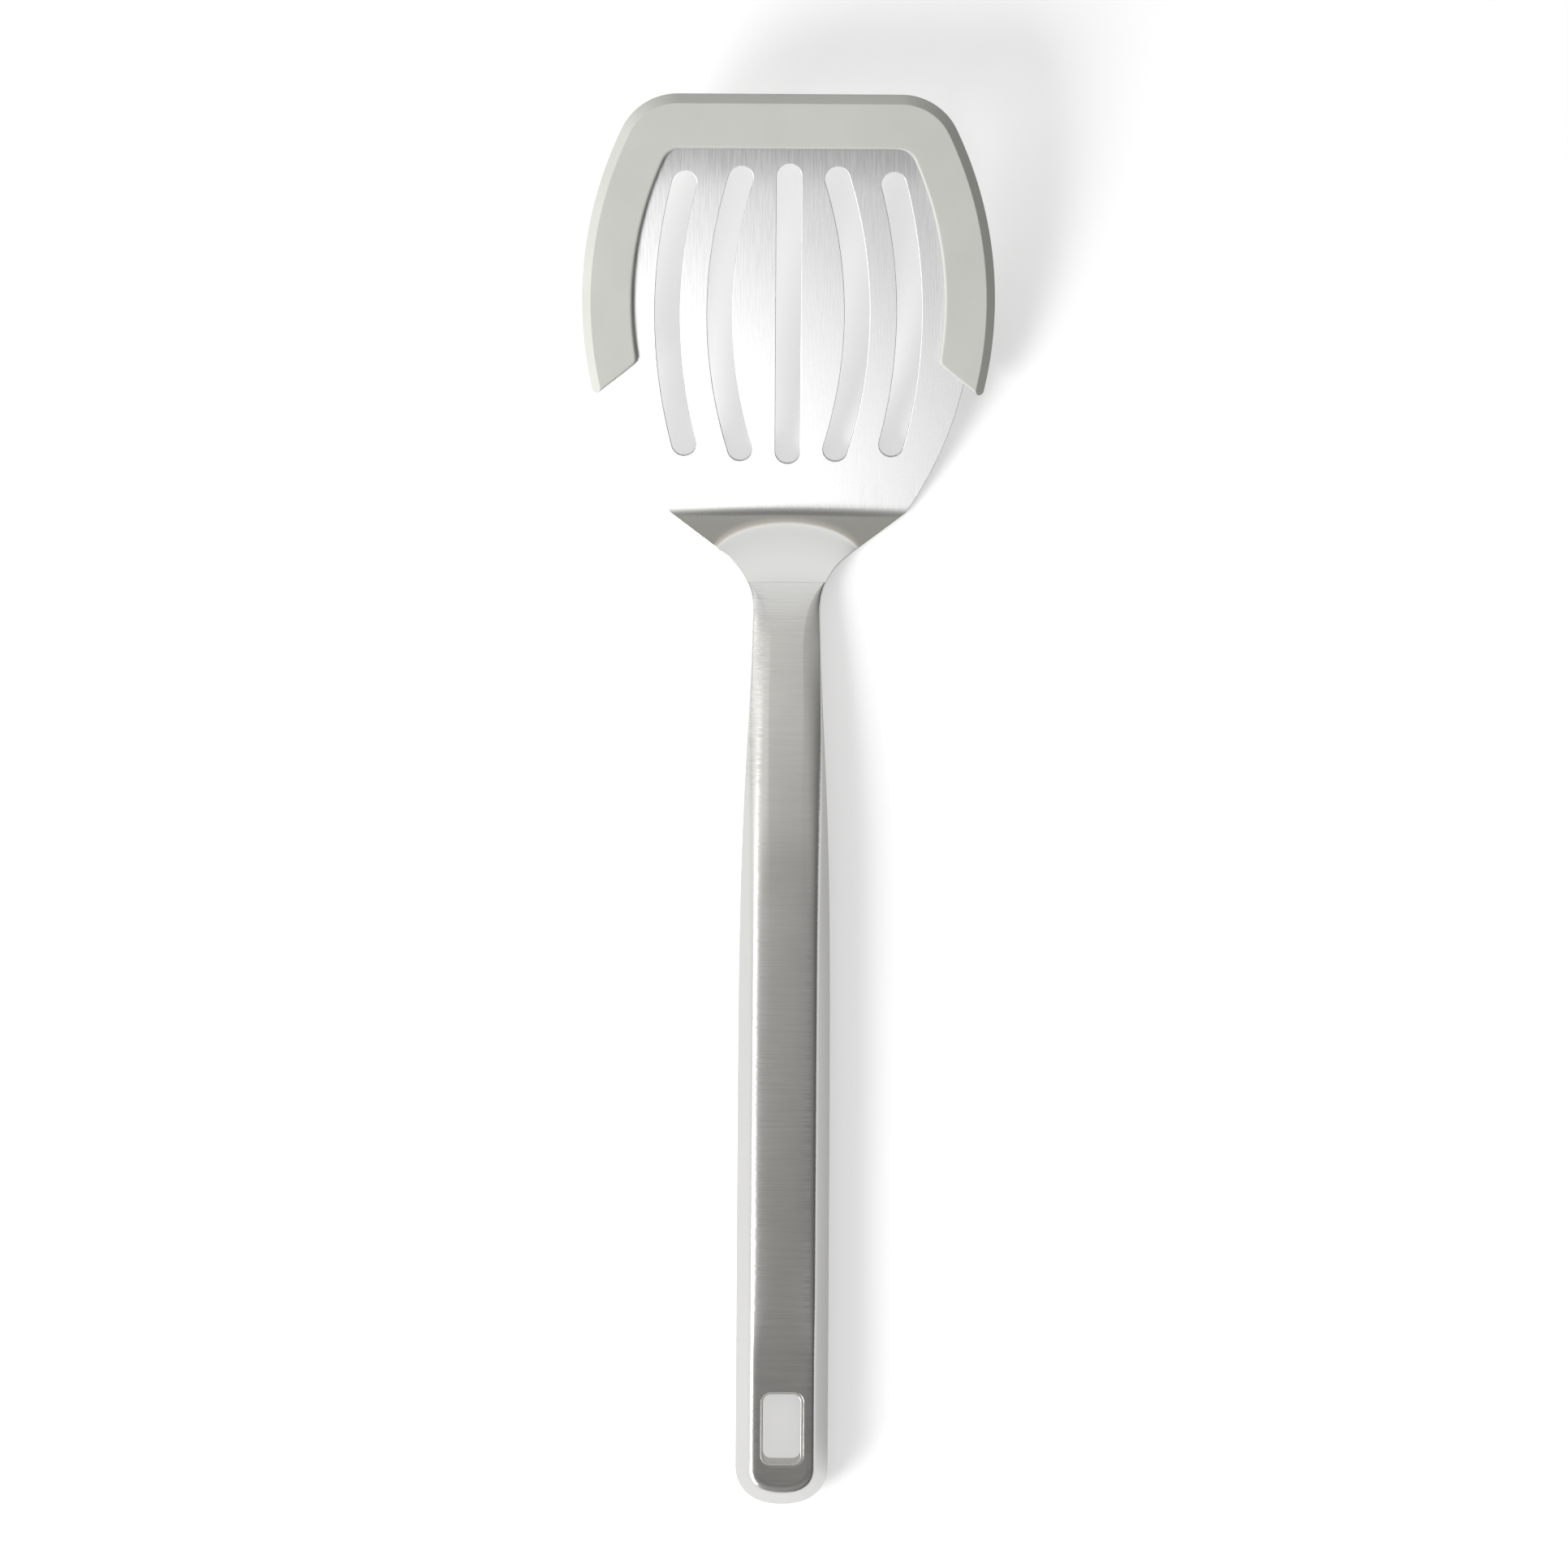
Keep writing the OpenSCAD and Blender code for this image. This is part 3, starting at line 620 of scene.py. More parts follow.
def arm_end():
    """The cut across the right arm: its distance from the side's centre, the direction across it, and the
    rounds at the inner corner and the tip, each as its middle's distance and angle and its radius."""
    inner_r, outer_r = BLADE_SIDE_R - EDGE_COVER_SIDE, BLADE_SIDE_R + EDGE_OVERHANG
    corner_x = sqrt(inner_r ** 2 - (ARM_CORNER_AT - SIDE_CENTRE[1]) ** 2)
    across = array([sin(ARM_CUT_SLOPE), cos(ARM_CUT_SLOPE)])
    line_at = array([corner_x, ARM_CORNER_AT - SIDE_CENTRE[1]]) @ across
    rounds = []
    for reach, r in ((inner_r + ARM_CORNER_R, ARM_CORNER_R), (outer_r - ARM_TIP_R, ARM_TIP_R)):
        rounds.append((reach, np.arcsin((line_at + r) / reach) - ARM_CUT_SLOPE, r))
    return line_at, across, rounds


def arm_end_angle(ring_r):
    """Angle at which a ring about the side's centre meets the arm's end: on the cut line, or on one of its
    rounds."""
    line_at, across, rounds = arm_end()
    angle = np.arcsin(line_at / ring_r) - ARM_CUT_SLOPE
    for (reach, at, r), inside in zip(rounds, (-1, 1)):
        touch = np.linalg.norm(reach * direction(at) - r * across)
        cosine = (ring_r ** 2 + reach ** 2 - r ** 2) / (2 * ring_r * reach)
        on_round = at - np.arccos(clip(cosine, -1, 1))
        angle = np.where((ring_r - touch) * inside > 0, on_round, angle)
    return angle


def arm_edge_distance(points, window_distance):
    """Distance in from the window or the arm's end: the nearer of the two, or the depth inside the round
    between them."""
    line_at, across, rounds = arm_end()
    from_centre = points - SIDE_CENTRE
    line_distance = from_centre @ across - line_at
    reach, at, r = rounds[0]
    out = direction(at)
    offset = from_centre - reach * out
    shares = offset @ np.linalg.inv(stack([-out, -across]))
    in_round = (shares > 0).all(-1)
    nearest = minimum(window_distance, line_distance)
    return np.where(in_round, r - np.linalg.norm(offset, axis=-1), nearest)


def edge_columns():
    """Lines along the silicone from its outer edge to the window: how far each lies inside the steel's edge
    at the sides and at the front, and its corner's radius. They lie closer where the section turns. Also
    returns the number of the line where the groove starts."""
    _, quarter, _, _ = quarter_round(1, 8)
    past_nose, past_bevel, beside = 0.45, 3.4, 0.15
    bevel = linspace(past_nose, EDGE_BEVEL - beside, 8)
    level = [EDGE_BEVEL, EDGE_BEVEL + beside, past_bevel, EDGE_OVERHANG - MOULD_GAP]
    from_outer = join([EDGE_NOSE_R * quarter, bevel, level])
    outer_in = from_outer - EDGE_OVERHANG
    outer = stack([outer_in, outer_in, BLADE_CORNER_R - outer_in], 1)
    past_round = 1.2
    from_window = EDGE_ROUND * np.append(quarter, past_round)
    window = stack([EDGE_COVER_SIDE - from_window, EDGE_COVER_FRONT - from_window,
                    EDGE_WINDOW_R + from_window], 1)
    between = blend(outer[-1], window[-1], linspace(0, 1, 6)[1:-1, None])
    return join([outer, between, window[::-1]]), len(outer) - 1


def silicone_plan(columns):
    """Plan of the silicone as rows by columns of x and p. A column runs from the right arm's end along the
    side, round the corner, along the front and on to the left arm's end."""
    side_in, front_in, r = columns.T
    ring = BLADE_SIDE_R - side_in
    mid = corner_middle(side_in, front_in, r)
    corner_from = np.arctan2(mid[:, 1] - SIDE_CENTRE[1], mid[:, 0] - SIDE_CENTRE[0])
    past_round = [1.1, 1.6, 2.2, 3]
    near_end = join([quarter_round(EDGE_ROUND, 9)[1], past_round])
    start = arm_end_angle(ring)
    end_zone = start + near_end[:, None] / ring
    side = join([end_zone, blend(end_zone[-1], corner_from, linspace(0, 1, 40)[1:, None])])
    turn = blend(corner_from, pi / 2, linspace(0, 1, 26)[1:, None])
    front_x = mid[:, 0] * linspace(1, 0, 10)[1:, None]
    x = join([SIDE_CENTRE[0] + ring * cos(side), mid[:, 0] + r * cos(turn), front_x])
    front_p = broadcast_to(mid[:, 1] + r, front_x.shape)
    p = join([SIDE_CENTRE[1] + ring * sin(side), mid[:, 1] + r * sin(turn), front_p])
    half = stack([x, p], -1)
    return join([half, mirror_x(half)[-2::-1]])


def silicone_lip():
    """The moulded edge: equal upper and lower faces, as high as the bevel and the rounds at the window and
    the arms' ends allow, with the steel's groove, the window's walls and the arms' end faces."""
    skin = Skin()
    columns, groove_from = edge_columns()
    plan = silicone_plan(columns)
    x, p = np.moveaxis(plan, -1, 0)
    outer_distance = columns[:, 0] + EDGE_OVERHANG
    window_distance = broadcast_to(EDGE_COVER_SIDE - columns[:, 0], x.shape)
    right = stack([np.abs(x), p], -1)
    edge_distance = np.where(p < SIDE_CENTRE[1], arm_edge_distance(right, window_distance), window_distance)
    height = minimum(bevel_height(outer_distance), EDGE_HALF - edge_drop(maximum(edge_distance, 0)))
    groove = STEEL / 2 + MOULD_GAP
    grooved = slice(groove_from, None)
    # A point inside an arm tells which way its end faces
    inner = 12
    for side in (1, -1):
        face = on_blade(x, p, STEEL / 2 + side * height)
        skin.grid(face, grid_normals(face, side * BLADE_UP))
        floor = on_blade(x[:, grooved], p[:, grooved], STEEL / 2 + side * groove)
        skin.grid(floor, -side * BLADE_UP)
        wall = stack([face[:, -1], floor[:, -1]], 1)
        skin.grid(wall, grid_normals(wall, on_blade(0, BLADE_WIDEST_AT, 0) - wall))
        for end, inside in ((0, inner), (-1, -1 - inner)):
            end_face = stack([face[end, grooved], floor[end]])
            skin.grid(end_face, grid_normals(end_face, end_face - face[inside, inner]))
    low, high = (on_blade(x, p, STEEL / 2 - s * minimum(height, groove)) for s in (1, -1))
    back = stack([low[:, groove_from], high[:, groove_from]], 1)
    skin.grid(back, grid_normals(back, on_blade(0, BLADE_WIDEST_AT, 0) - back))
    lip = slice(0, groove_from + 1)
    for end in (0, -1):
        ends = [on_blade(x[end, lip], p[end, lip], STEEL / 2 + s * height[end, lip]) for s in (1, -1)]
        corner = x[end, groove_from], p[end, groove_from]
        groove_points = [on_blade(*corner, STEEL / 2 + s * groove) for s in (1, -1)]
        loop = join([ends[0], groove_points, ends[1][::-1]])
        skin.patch(loop, array([0, -1, 0]), fill([loop[:, [0, 2]]]))
    return skin.piece("silicone_lip", "silicone_edge", moulded_silicone(), "silicone")


def swell(u):
    """Goes from 0 at the neck to 1 at the grip: 1 less the exponential of minus a power of the distance from
    the neck."""
    return 1 - np.exp(-(maximum(u - NECK_U, 0) / SWELL_LENGTH) ** SWELL_POWER)


def half_width(u):
    """Half the handle's width at the weld line: an arc in the hollow of the neck, then the swell to the
    grip."""
    hollow = HOLLOW_X - sqrt(NECK_HOLLOW_R ** 2 - clip(NECK_U - u, 0, NECK_HOLLOW_R) ** 2)
    return np.where(u < NECK_U, hollow, blend(NECK_WIDTH / 2, GRIP_WIDTH / 2, swell(u)))


def handle_depth(u):
    """Depth of the closed handle, which eases from the sheet's thickness and two walls at the seam to the
    grip's depth."""
    mouth = 2 * WALL + STEEL / cos(SHOULDER_RISE) + 2 * WELD_GAP
    return blend(mouth, GRIP_DEPTH, ease((u - SEAM_U) / (LEVEL_U - SEAM_U)))


def handle_path():
    """The weld line from the right side of the seam round the end to its left side: x, u and the outward
    direction. The end is half of a squarish ellipse. Also returns the row where the flat end starts."""
    crowding = 1.4
    neck = blend(SEAM_U, LEVEL_U, linspace(0, 1, 90) ** crowding)
    level, flat = linspace(LEVEL_U, FLAT_END_U, 24), linspace(FLAT_END_U, END_START_U, 6)
    grip = join([neck, level[1:], flat[1:]])
    side = stack([half_width(grip), grip, np.ones_like(grip), np.zeros_like(grip)], 1)
    a = linspace(0, pi / 2, 40)[1:]
    x, v = np.abs(cos(a)) ** (2 / END_POWER), sin(a) ** (2 / END_POWER)
    end_w = half_width(array(END_START_U))
    out = unit(stack([x ** (END_POWER - 1) / end_w, v ** (END_POWER - 1) / END_ROUND], 1))
    end = join([stack([end_w * x, END_START_U + END_ROUND * v], 1), out], 1)
    half = join([side, end])
    flip = array([-1, 1, -1, 1])
    return join([half, (half * flip)[-2::-1]]), int(np.argmin(np.abs(grip - FLAT_END_U)))


def shell_section(u, depth, draft, skin):
    """Section of a shell from the weld line to the edge of its face, as the distance in and the height: a
    wall and a bend, a quadratic curve that is pulled towards their corner. The neck has upright walls and
    wide flanks, the grip sloping walls and crisper bends, narrower at the end, and at the seam the section
    is as flat as the sheet. The inside lies in by skin."""
    grip = swell(u)
    opened = 1 - clip(1 - (u - SEAM_U) / MOUTH_LENGTH, 0, 1) ** 2
    draft = blend(blend(MOUTH_DRAFT, NECK_DRAFT, opened), draft, grip ** DRAFT_POWER)
    grip_w = blend(GRIP_BEND_W, END_BEND_W, ease((u - FLAT_END_U) / END_BEND_LENGTH + 1))
    bend_w = blend(blend(MOUTH_BEND, NECK_BEND_W, opened), grip_w, grip)
    bend_h = blend(blend(MOUTH_BEND, NECK_BEND_SHARE * depth, opened), GRIP_BEND_H, grip)
    foot = skin * np.hypot(draft, depth) / depth
    corner = stack([foot + (depth - skin) * draft / depth, depth - skin], -1)
    lean = stack([draft / depth, np.ones_like(depth)], -1)
    wall_end = corner - maximum(bend_h - skin, LEAST_BEND)[:, None] * lean
    face_run = maximum(draft + bend_w - corner[:, 0], LEAST_BEND)
    face = corner + stack([face_run, np.zeros_like(depth)], -1)
    base = stack([foot, np.zeros_like(depth)], -1)
    edge_r = WELD_EDGE_R * (skin == 0)
    start = base + edge_r * lean
    weld_edge = base[:, None] + quarter_round(edge_r, 4)[:2, :-1 if edge_r else 0].T
    wall = blend(start[:, None], wall_end[:, None], linspace(0, 1, 8)[:-1, None])
    s = linspace(0, 1, 16)[:, None]
    pull = blend(corner, (wall_end + face) / 2, (NECK_BEND_FLATNESS * opened * (1 - grip))[:, None])
    start_share, end_share = (1 - s) ** 2, s ** 2
    pull_share = 2 * s * (1 - s) * blend(1, GRIP_BEND_CRISPNESS, grip)[:, None, None]
    bend = start_share * wall_end[:, None] + pull_share * pull[:, None] + end_share * face[:, None]
    bend = bend / (start_share + pull_share + end_share)
    return join([weld_edge, wall, bend], 1)


def hole_loop(grow):
    """The hang hole's rounded rectangle, made larger by grow, as x and u with the directions away from its
    middle."""
    r = HOLE_CORNER_R + grow
    mid_x, mid_u = HOLE_WIDTH / 2 - HOLE_CORNER_R, HOLE_LENGTH / 2 - HOLE_CORNER_R
    corners = [arc([sx * mid_x, HOLE_MID_U + su * mid_u], r, a, a + pi / 2, 12)
               for sx, su, a in ((1, 1, 0), (-1, 1, pi / 2), (-1, -1, pi), (1, -1, 1.5 * pi))]
    return join([c[0] for c in corners]), join([c[1] for c in corners])


def shell_surface(side, skin):
    """One surface of a shell: side is 1 for the front and -1 for the back, skin is 0 outside and the wall's
    thickness inside. Returns the band of wall and bend, the x and u of the face's edge, and the row where
    the flat end starts."""
    path, flat_row = handle_path()
    x, u, out_x, out_u = path.T
    front_depth = handle_depth(u) * FRONT_SHELL_DEPTH / GRIP_DEPTH
    depth = front_depth if side > 0 else handle_depth(u) - front_depth - WELD_GAP
    section = shell_section(u, depth, FRONT_DRAFT if side > 0 else BACK_DRAFT, skin)
    inward, rise = section[..., 0], section[..., 1]
    px, pu = x[:, None] - inward * out_x[:, None], u[:, None] - inward * out_u[:, None]
    weld_z = (front_line(u) - front_depth)[:, None]
    z = weld_z + rise if side > 0 else weld_z - WELD_GAP - rise
    if side > 0:
        z = z - (front_line(pu) - top_height(px, maximum(pu, SEAM_U))) * (rise / rise[:, -1:]) ** 2
    band = stack([px, HEEL_Y - pu, z], -1)
    return band, px[:, -1], pu[:, -1], flat_row


def face_height(side, skin, x, u):
    """Height of a shell's face."""
    if side > 0:
        return top_height(x, maximum(u, SEAM_U)) - skin
    return front_line(u) - handle_depth(u) + skin


def handle_shell(side, name, node):
    """One stamped half of the handle: the outer and inner surfaces, the hang hole's rim, and the edges
    between them at the weld line and at the mouth."""
    shell = Skin()
    columns = 28
    across = linspace(1, -1, columns + 1)
    up = array([0, 0, 1.0])
    past_seam = SEAM_U + 0.01
    bands = []
    for skin in (0, WALL):
        band, edge_x, edge_u, flat_row = shell_surface(side, skin)
        facing = side * (1 if skin == 0 else -1)
        last = len(edge_x) - 1
        x, u = edge_x[:flat_row + 1, None] * across, np.tile(edge_u[:flat_row + 1, None], columns + 1)
        face = stack([x, HEEL_Y - u, face_height(side, skin, x, u)], -1)
        face_up = facing * (top_normal(x, maximum(u, past_seam)) if side > 0 else grid_normals(face, up))
        middle_y = HEEL_Y - minimum(edge_u, END_START_U)
        middle = stack([np.zeros_like(edge_x), middle_y, band[:, 0, 2]], -1)[:, None]
        normals = grid_normals(band, (band - middle) * (1 if skin == 0 else -1))
        normals[:flat_row + 1, -1], normals[last - flat_row:, -1] = face_up[:, 0], face_up[::-1, -1]
        normals[flat_row:last - flat_row + 1, -1] = facing * up
        wall = ease((WALL_FADE_END - linspace(0, 1, band.shape[1])) / WALL_FADE)
        shell.grid(band, normals, wall * swell(HEEL_Y - band[:, :1, 1]))
        shell.grid(face, face_up)
        hole, _ = hole_loop(SLEEVE + SLEEVE_GAP + (HOLE_RIM_R if skin == 0 else 0))
        ring = stack([edge_x, edge_u], 1)[flat_row:last - flat_row + 1]
        row = stack([x[flat_row, ::-1], u[flat_row]], 1)[1:-1]
        loops = [join([ring, row]), hole]
        flat_x, flat_u = join(loops).T
        flat_z = face_height(side, skin, flat_x, flat_u)
        shell.patch(stack([flat_x, HEEL_Y - flat_u, flat_z], -1), facing * up, fill(loops))
        bands.append((band, face))
    weld_edge = stack([bands[0][0][:, 0], bands[1][0][:, 0]], 1)
    shell.grid(weld_edge, -side * up)
    mouth = [join([band[0], face[0, 1:-1], band[-1, ::-1]]) for band, face in bands]
    shell.patch(*mouth_cap(mouth))
    hole_rim(shell, side)
    return shell.piece(name, node, brushed_handle_steel(name), "handle_steel")


def mouth_cap(mouth):
    """The shell's end face at the seam, between the outer and the inner section."""
    outer, inner = mouth
    loop = join([outer, inner[::-1]])
    return loop, array([0, 1.0, 0]), fill([loop[:, [0, 2]]])


def round_hole(skin, grow, profile, profile_out, wall=0.0):
    """A profile carried round the hang hole. Its points and its normals have a part away from the hole's
    edge, which is made larger by grow, and a part upwards."""
    edge, out = (closed(loop)[:, None] for loop in hole_loop(grow))
    points = edge + profile[:, :1] * out
    z = broadcast_to(profile[:, 1], points.shape[:2])
    lift = broadcast_to(profile_out[:, 1:], points.shape[:2] + (1,))
    normals = join([out * profile_out[:, :1] * [1, -1], lift], -1)
    skin.grid(stack([points[..., 0], HEEL_Y - points[..., 1], z], -1), normals, wall)


def hole_rim(shell, side):
    """The rounded edge of a shell round the hang hole: a quarter round from the face, then the wall's
    thickness. It is finished like the middle of a bend, between wall and face."""
    bend_middle = 0.5
    wall_end = array([0, WALL, 1, 0])
    away, below, out, up = np.append(quarter_round(HOLE_RIM_R, 7), wall_end[:, None], 1)
    face_z = GRIP_DEPTH if side > 0 else 0
    profile = stack([away, face_z - side * below], 1)
    profile_out = stack([-out, side * up], 1)
    round_hole(shell, SLEEVE + SLEEVE_GAP, profile, profile_out, bend_middle)


def hole_sleeve():
    """The sleeve in the hang hole: a tall narrow section with rounded rims, carried round the hole."""
    skin = Skin()
    low, high = SLEEVE_RECESS, GRIP_DEPTH - SLEEVE_RECESS
    r = SLEEVE_EDGE_R
    quarter = direction(linspace(0, pi / 2, 6))
    turns = [([SLEEVE - r, high - r], [1, 1], 1), ([r, high - r], [-1, 1], -1),
             ([r, low + r], [-1, -1], 1), ([SLEEVE - r, low + r], [1, -1], -1)]
    profile = join([array(mid) + r * (quarter * way)[::step] for mid, way, step in turns])
    profile_out = join([(quarter * way)[::step] for mid, way, step in turns])
    round_hole(skin, 0, closed(profile), closed(profile_out))
    return skin.piece("hole_sleeve", "hang_hole_liner", sleeve_steel(), "liner_steel")


def sums(operation, turned=False):
    """A method that adds a Math node to a wire's tree. Where turned, the wire is the second value."""
    def method(wire, other):
        values = (other, wire) if turned else (wire, other)
        return wire.nodes.maths(operation, *values)
    return method


class Wire:
    """A socket in a node tree. Sums on wires add Math nodes."""

    def __init__(self, nodes, socket):
        self.nodes, self.socket = nodes, socket

    __add__ = __radd__ = sums("ADD")
    __mul__ = __rmul__ = sums("MULTIPLY")
    __sub__, __rsub__ = sums("SUBTRACT"), sums("SUBTRACT", True)
    __truediv__, __pow__ = sums("DIVIDE"), sums("POWER")


class Nodes:
    """A node tree that is filled from Python."""

    def __init__(self, tree):
        self.tree = tree
        tree.nodes.clear()

    def add(self, kind, settings=None, sockets=None, out=0):
        """Adds a node: its settings first, then the values or links of its sockets. Returns its output as a
        wire."""
        node = self.tree.nodes.new(kind)
        for key, value in (settings or {}).items():
            if key == "stops":
                self.set_stops(node.color_ramp, value)
            else:
                setattr(node, key, value)
        for key, value in (sockets or {}).items():
            if isinstance(value, Wire):
                self.tree.links.new(value.socket, node.inputs[key])
            else:
                node.inputs[key].default_value = value
        return Wire(self, node.outputs[out]) if node.outputs else None

    def set_stops(self, ramp, stops):
        """Sets a ramp's stops, each a place and a grey level or colour."""
        while len(ramp.elements) < len(stops):
            ramp.elements.new(0.5)
        for element, (place, value) in zip(ramp.elements, stops):
            element.position = place
            element.color = (*broadcast_to(value, 3), 1)

    def maths(self, operation, *values):
        """A sum on wires or numbers."""
        return self.add("ShaderNodeMath", {"operation": operation}, dict(enumerate(values)))

    def smooth(self, value, low, high):
        """Goes from 0 at low to 1 at high, level at both ends."""
        return self.add("ShaderNodeMapRange", {"interpolation_type": "SMOOTHSTEP"},
                        {"Value": value, "From Min": low, "From Max": high})

    def millimetres(self):
        """Object coordinates in millimetres, as x, y and z."""
        place = self.add("ShaderNodeTexCoord", out=3)
        scaled = self.add("ShaderNodeVectorMath", {"operation": "SCALE"}, {0: place, "Scale": 1 / MM})
        return [self.add("ShaderNodeSeparateXYZ", None, {0: scaled}, k) for k in range(3)]

    def grain(self, place, waves, detail=2.0, roughness=0.5, start=0.0):
        """Noise from 0 to 1 over a place in millimetres, with so many waves a millimetre along X, Y and
        Z."""
        x, y, z = (at * count for at, count in zip(place, waves))
        scaled = self.add("ShaderNodeCombineXYZ", None, {0: x, 1: y, 2: z + start})
        return self.add("ShaderNodeTexNoise", None,
                        {"Vector": scaled, "Scale": 1.0, "Detail": detail, "Roughness": roughness})

    def tilted_normal(self, x_lean, y_lean):
        """The surface's normal, leaned by small amounts along X and Y."""
        lean = self.add("ShaderNodeCombineXYZ", None, {0: x_lean, 1: y_lean, 2: 0.0})
        normal = self.add("ShaderNodeNewGeometry", out=1)
        total = self.add("ShaderNodeVectorMath", {"operation": "ADD"}, {0: normal, 1: lean})
        return self.add("ShaderNodeVectorMath", {"operation": "NORMALIZE"}, {0: total})

    def tint(self, share, a, b):
        """A colour a share of the way from a to b."""
        colour = [c if isinstance(c, Wire) else (*c, 1) for c in (a, b)]
        return self.add("ShaderNodeMix", {"data_type": "RGBA"}, {0: share, 6: colour[0], 7: colour[1]}, 2)

    def steel(self, colour, roughness, normals=((1, None),)):
        """Ends the material in bare steel. Brushed steel is a mix of shares, each with a normal of its
        own."""
        total, mixed = 0, None
        for weight, normal in normals:
            sockets = {"Base Color": colour, "Metallic": 1.0, "Roughness": roughness}
            if normal:
                sockets["Normal"] = normal
            lobe = self.add("ShaderNodeBsdfPrincipled", None, sockets)
            total += weight
            if mixed:
                lobe = self.add("ShaderNodeMixShader", None, {0: weight / total, 1: mixed, 2: lobe})
            mixed = lobe
        self.add("ShaderNodeOutputMaterial", None, {0: mixed})


def new_material(name):
    """A material and its empty node tree."""
    material = bpy.data.materials.new(name)
    material.use_nodes = True
    return material, Nodes(material.node_tree)


def steel_tones(n, share, tone):
    """Steel's colour, a little darker or lighter with share."""
    darkest, lightest = 0.92, 1.05
    dark, light = [tuple(c * k for c in tone) for k in (darkest, lightest)]
    return n.tint(n.smooth(share, *GRAIN_RANGE), dark, light)


def past_arch(n, x, y):
    """Distance behind the arched line where the shoulder starts to rise."""
    least = 0.05
    share = n.maths("MAXIMUM", 1 - x * x / ARCH_HALF_WIDTH ** 2, least)
    return HEEL_Y - ARCH_AT - y - ARCH_LENGTH * (1 - share ** 0.5)


def brushed_blade_steel():
    """Steel brushed lengthwise on the plate, which spreads reflections sideways. Behind a soft, bowed line
    at the heel it is polished; up to the arch its colour is painted darker and warmer as a painted
    reflection, and along the arch a faint brown painted reflection is mixed in. The plate is slightly
    crowned both ways and rolls down at the silicone's window."""
    material, n = new_material("brushed_blade_steel")
    place = n.millimetres()
    x, y, _ = place
    fine = n.grain(place, PLATE_GRAIN, roughness=0.6)
    line_y = HEEL_Y + POLISH_LINE_AT - x * x * POLISH_LINE_BOW
    polished = n.smooth(line_y - y + (fine - 0.5) * POLISH_LINE_JAG, *POLISH_FADE)
    brushed = 1 - polished
    plate_y = y - HEEL_Y - BLADE_LENGTH / 2
    roll = n.smooth(plate_y, *(BLADE_LENGTH / 2 - array(ROLL_FROM_FRONT))) * PLATE_FRONT_ROLL
    across = (fine - 0.5) * BRUSH_LEAN + x * PLATE_CROSS_CURVE
    along = (plate_y * PLATE_CURVE + roll) * brushed
    lobes = [(np.exp(-lean ** 2 / 2 / BRUSH_SPREAD ** 2),
              n.tilted_normal((across + tan(lean)) * brushed, along))
             for lean in linspace(-BRUSH_REACH, BRUSH_REACH, 7)]
    rougher = PLATE_ROUGHNESS - POLISHED_ROUGHNESS + (fine - 0.5) * PLATE_UNEVEN
    behind = past_arch(n, x, y)
    # Up to the arch the polished steel is painted darker and warmer: a painted reflection.
    shoulder = n.tint(n.smooth(behind, *BAND_REFLECTION_FADE), BAND_REFLECTION_TONE, POLISHED_TONE)
    streaks = n.tint(n.smooth(fine, *GRAIN_RANGE), STREAK_TONE, BRUSHED_TONE)
    clean = n.tint(brushed, shoulder, streaks)
    # A painted reflection: a faint brown line along the arch, mixed into the polished steel's colour.
    tint = n.smooth(n.maths("ABSOLUTE", behind + REFLECTION_BEFORE_ARCH), REFLECTION_HALF_WIDTH, 0.0)
    colour = n.tint(tint * polished * REFLECTION_SHARE, clean, ARCH_REFLECTION)
    n.steel(colour, POLISHED_ROUGHNESS + brushed * rougher, lobes)
    return material


def brushed_handle_steel(name):
    """Steel brushed crosswise, which spreads reflections a little along the handle. Coarse marks cover the
    neck's left flank, fine ones break up the bends, and the walls are satin. The brushing fades in behind
    the seam."""
    material, n = new_material("brushed_" + name)
    place = n.millimetres()
    x, y, _ = place
    wall = n.add("ShaderNodeAttribute", {"attribute_name": "wall"}, out=2)
    fine = n.grain(place, FINE_GRAIN, detail=3.0)
    broad = n.grain(place, BROAD_GRAIN, start=5.0)
    patch = n.grain(place, PATCH_GRAIN, start=9.0)
    mark = n.grain(place, MARK_GRAIN)
    brushing_y = HEEL_Y - SEAM_U + array(BRUSHING_FROM_SEAM)
    worked = n.smooth(y + (fine - 0.5) * BRUSHING_JAG, *brushing_y)
    face = (1 - wall) * worked
    marked = n.smooth(y, *(HEEL_Y - array(MARKS_FROM_HEEL))) * worked
    flank = n.smooth((mark - 0.5) * FLANK_JAG - x, *FLANK_FROM_MIDDLE) * marked
    # The crease is 1 halfway round a bend, and 0 on the wall and on the face
    crease = (wall * (1 - wall)) ** 0.5 * 2
    scratch = (fine - 0.5) * (FACE_SCRATCH + crease * CREASE_SCRATCH) + (mark - 0.5) * flank * MARK_LEAN
    uneven = (broad - 0.5) * BROAD_UNEVEN + (patch - 0.5) * PATCH_UNEVEN + flank * FLANK_ROUGHNESS
    roughness = HANDLE_ROUGHNESS + crease * CREASE_ROUGHNESS + face * uneven
    sideways = (fine - 0.5) * crease * CREASE_LEAN
    lobes = [(share, n.tilted_normal(sideways, (scratch + tan(radians(lean))) * face))
             for share, lean in HANDLE_LOBES]
    fine_share, broad_share, patch_share = 0.25, 0.15, 0.6
    wear = fine * fine_share + broad * broad_share + patch * patch_share
    worn = steel_tones(n, wear, HANDLE_TONE)
    tone = n.tint(worked, POLISHED_TONE, n.tint(wall, worn, WALL_TONE))
    strokes = flank * n.smooth(mark, *STROKE_RANGE) * STROKE_SHARE
    n.steel(n.tint(strokes, tone, STROKE_TONE), roughness, lobes)
    return material


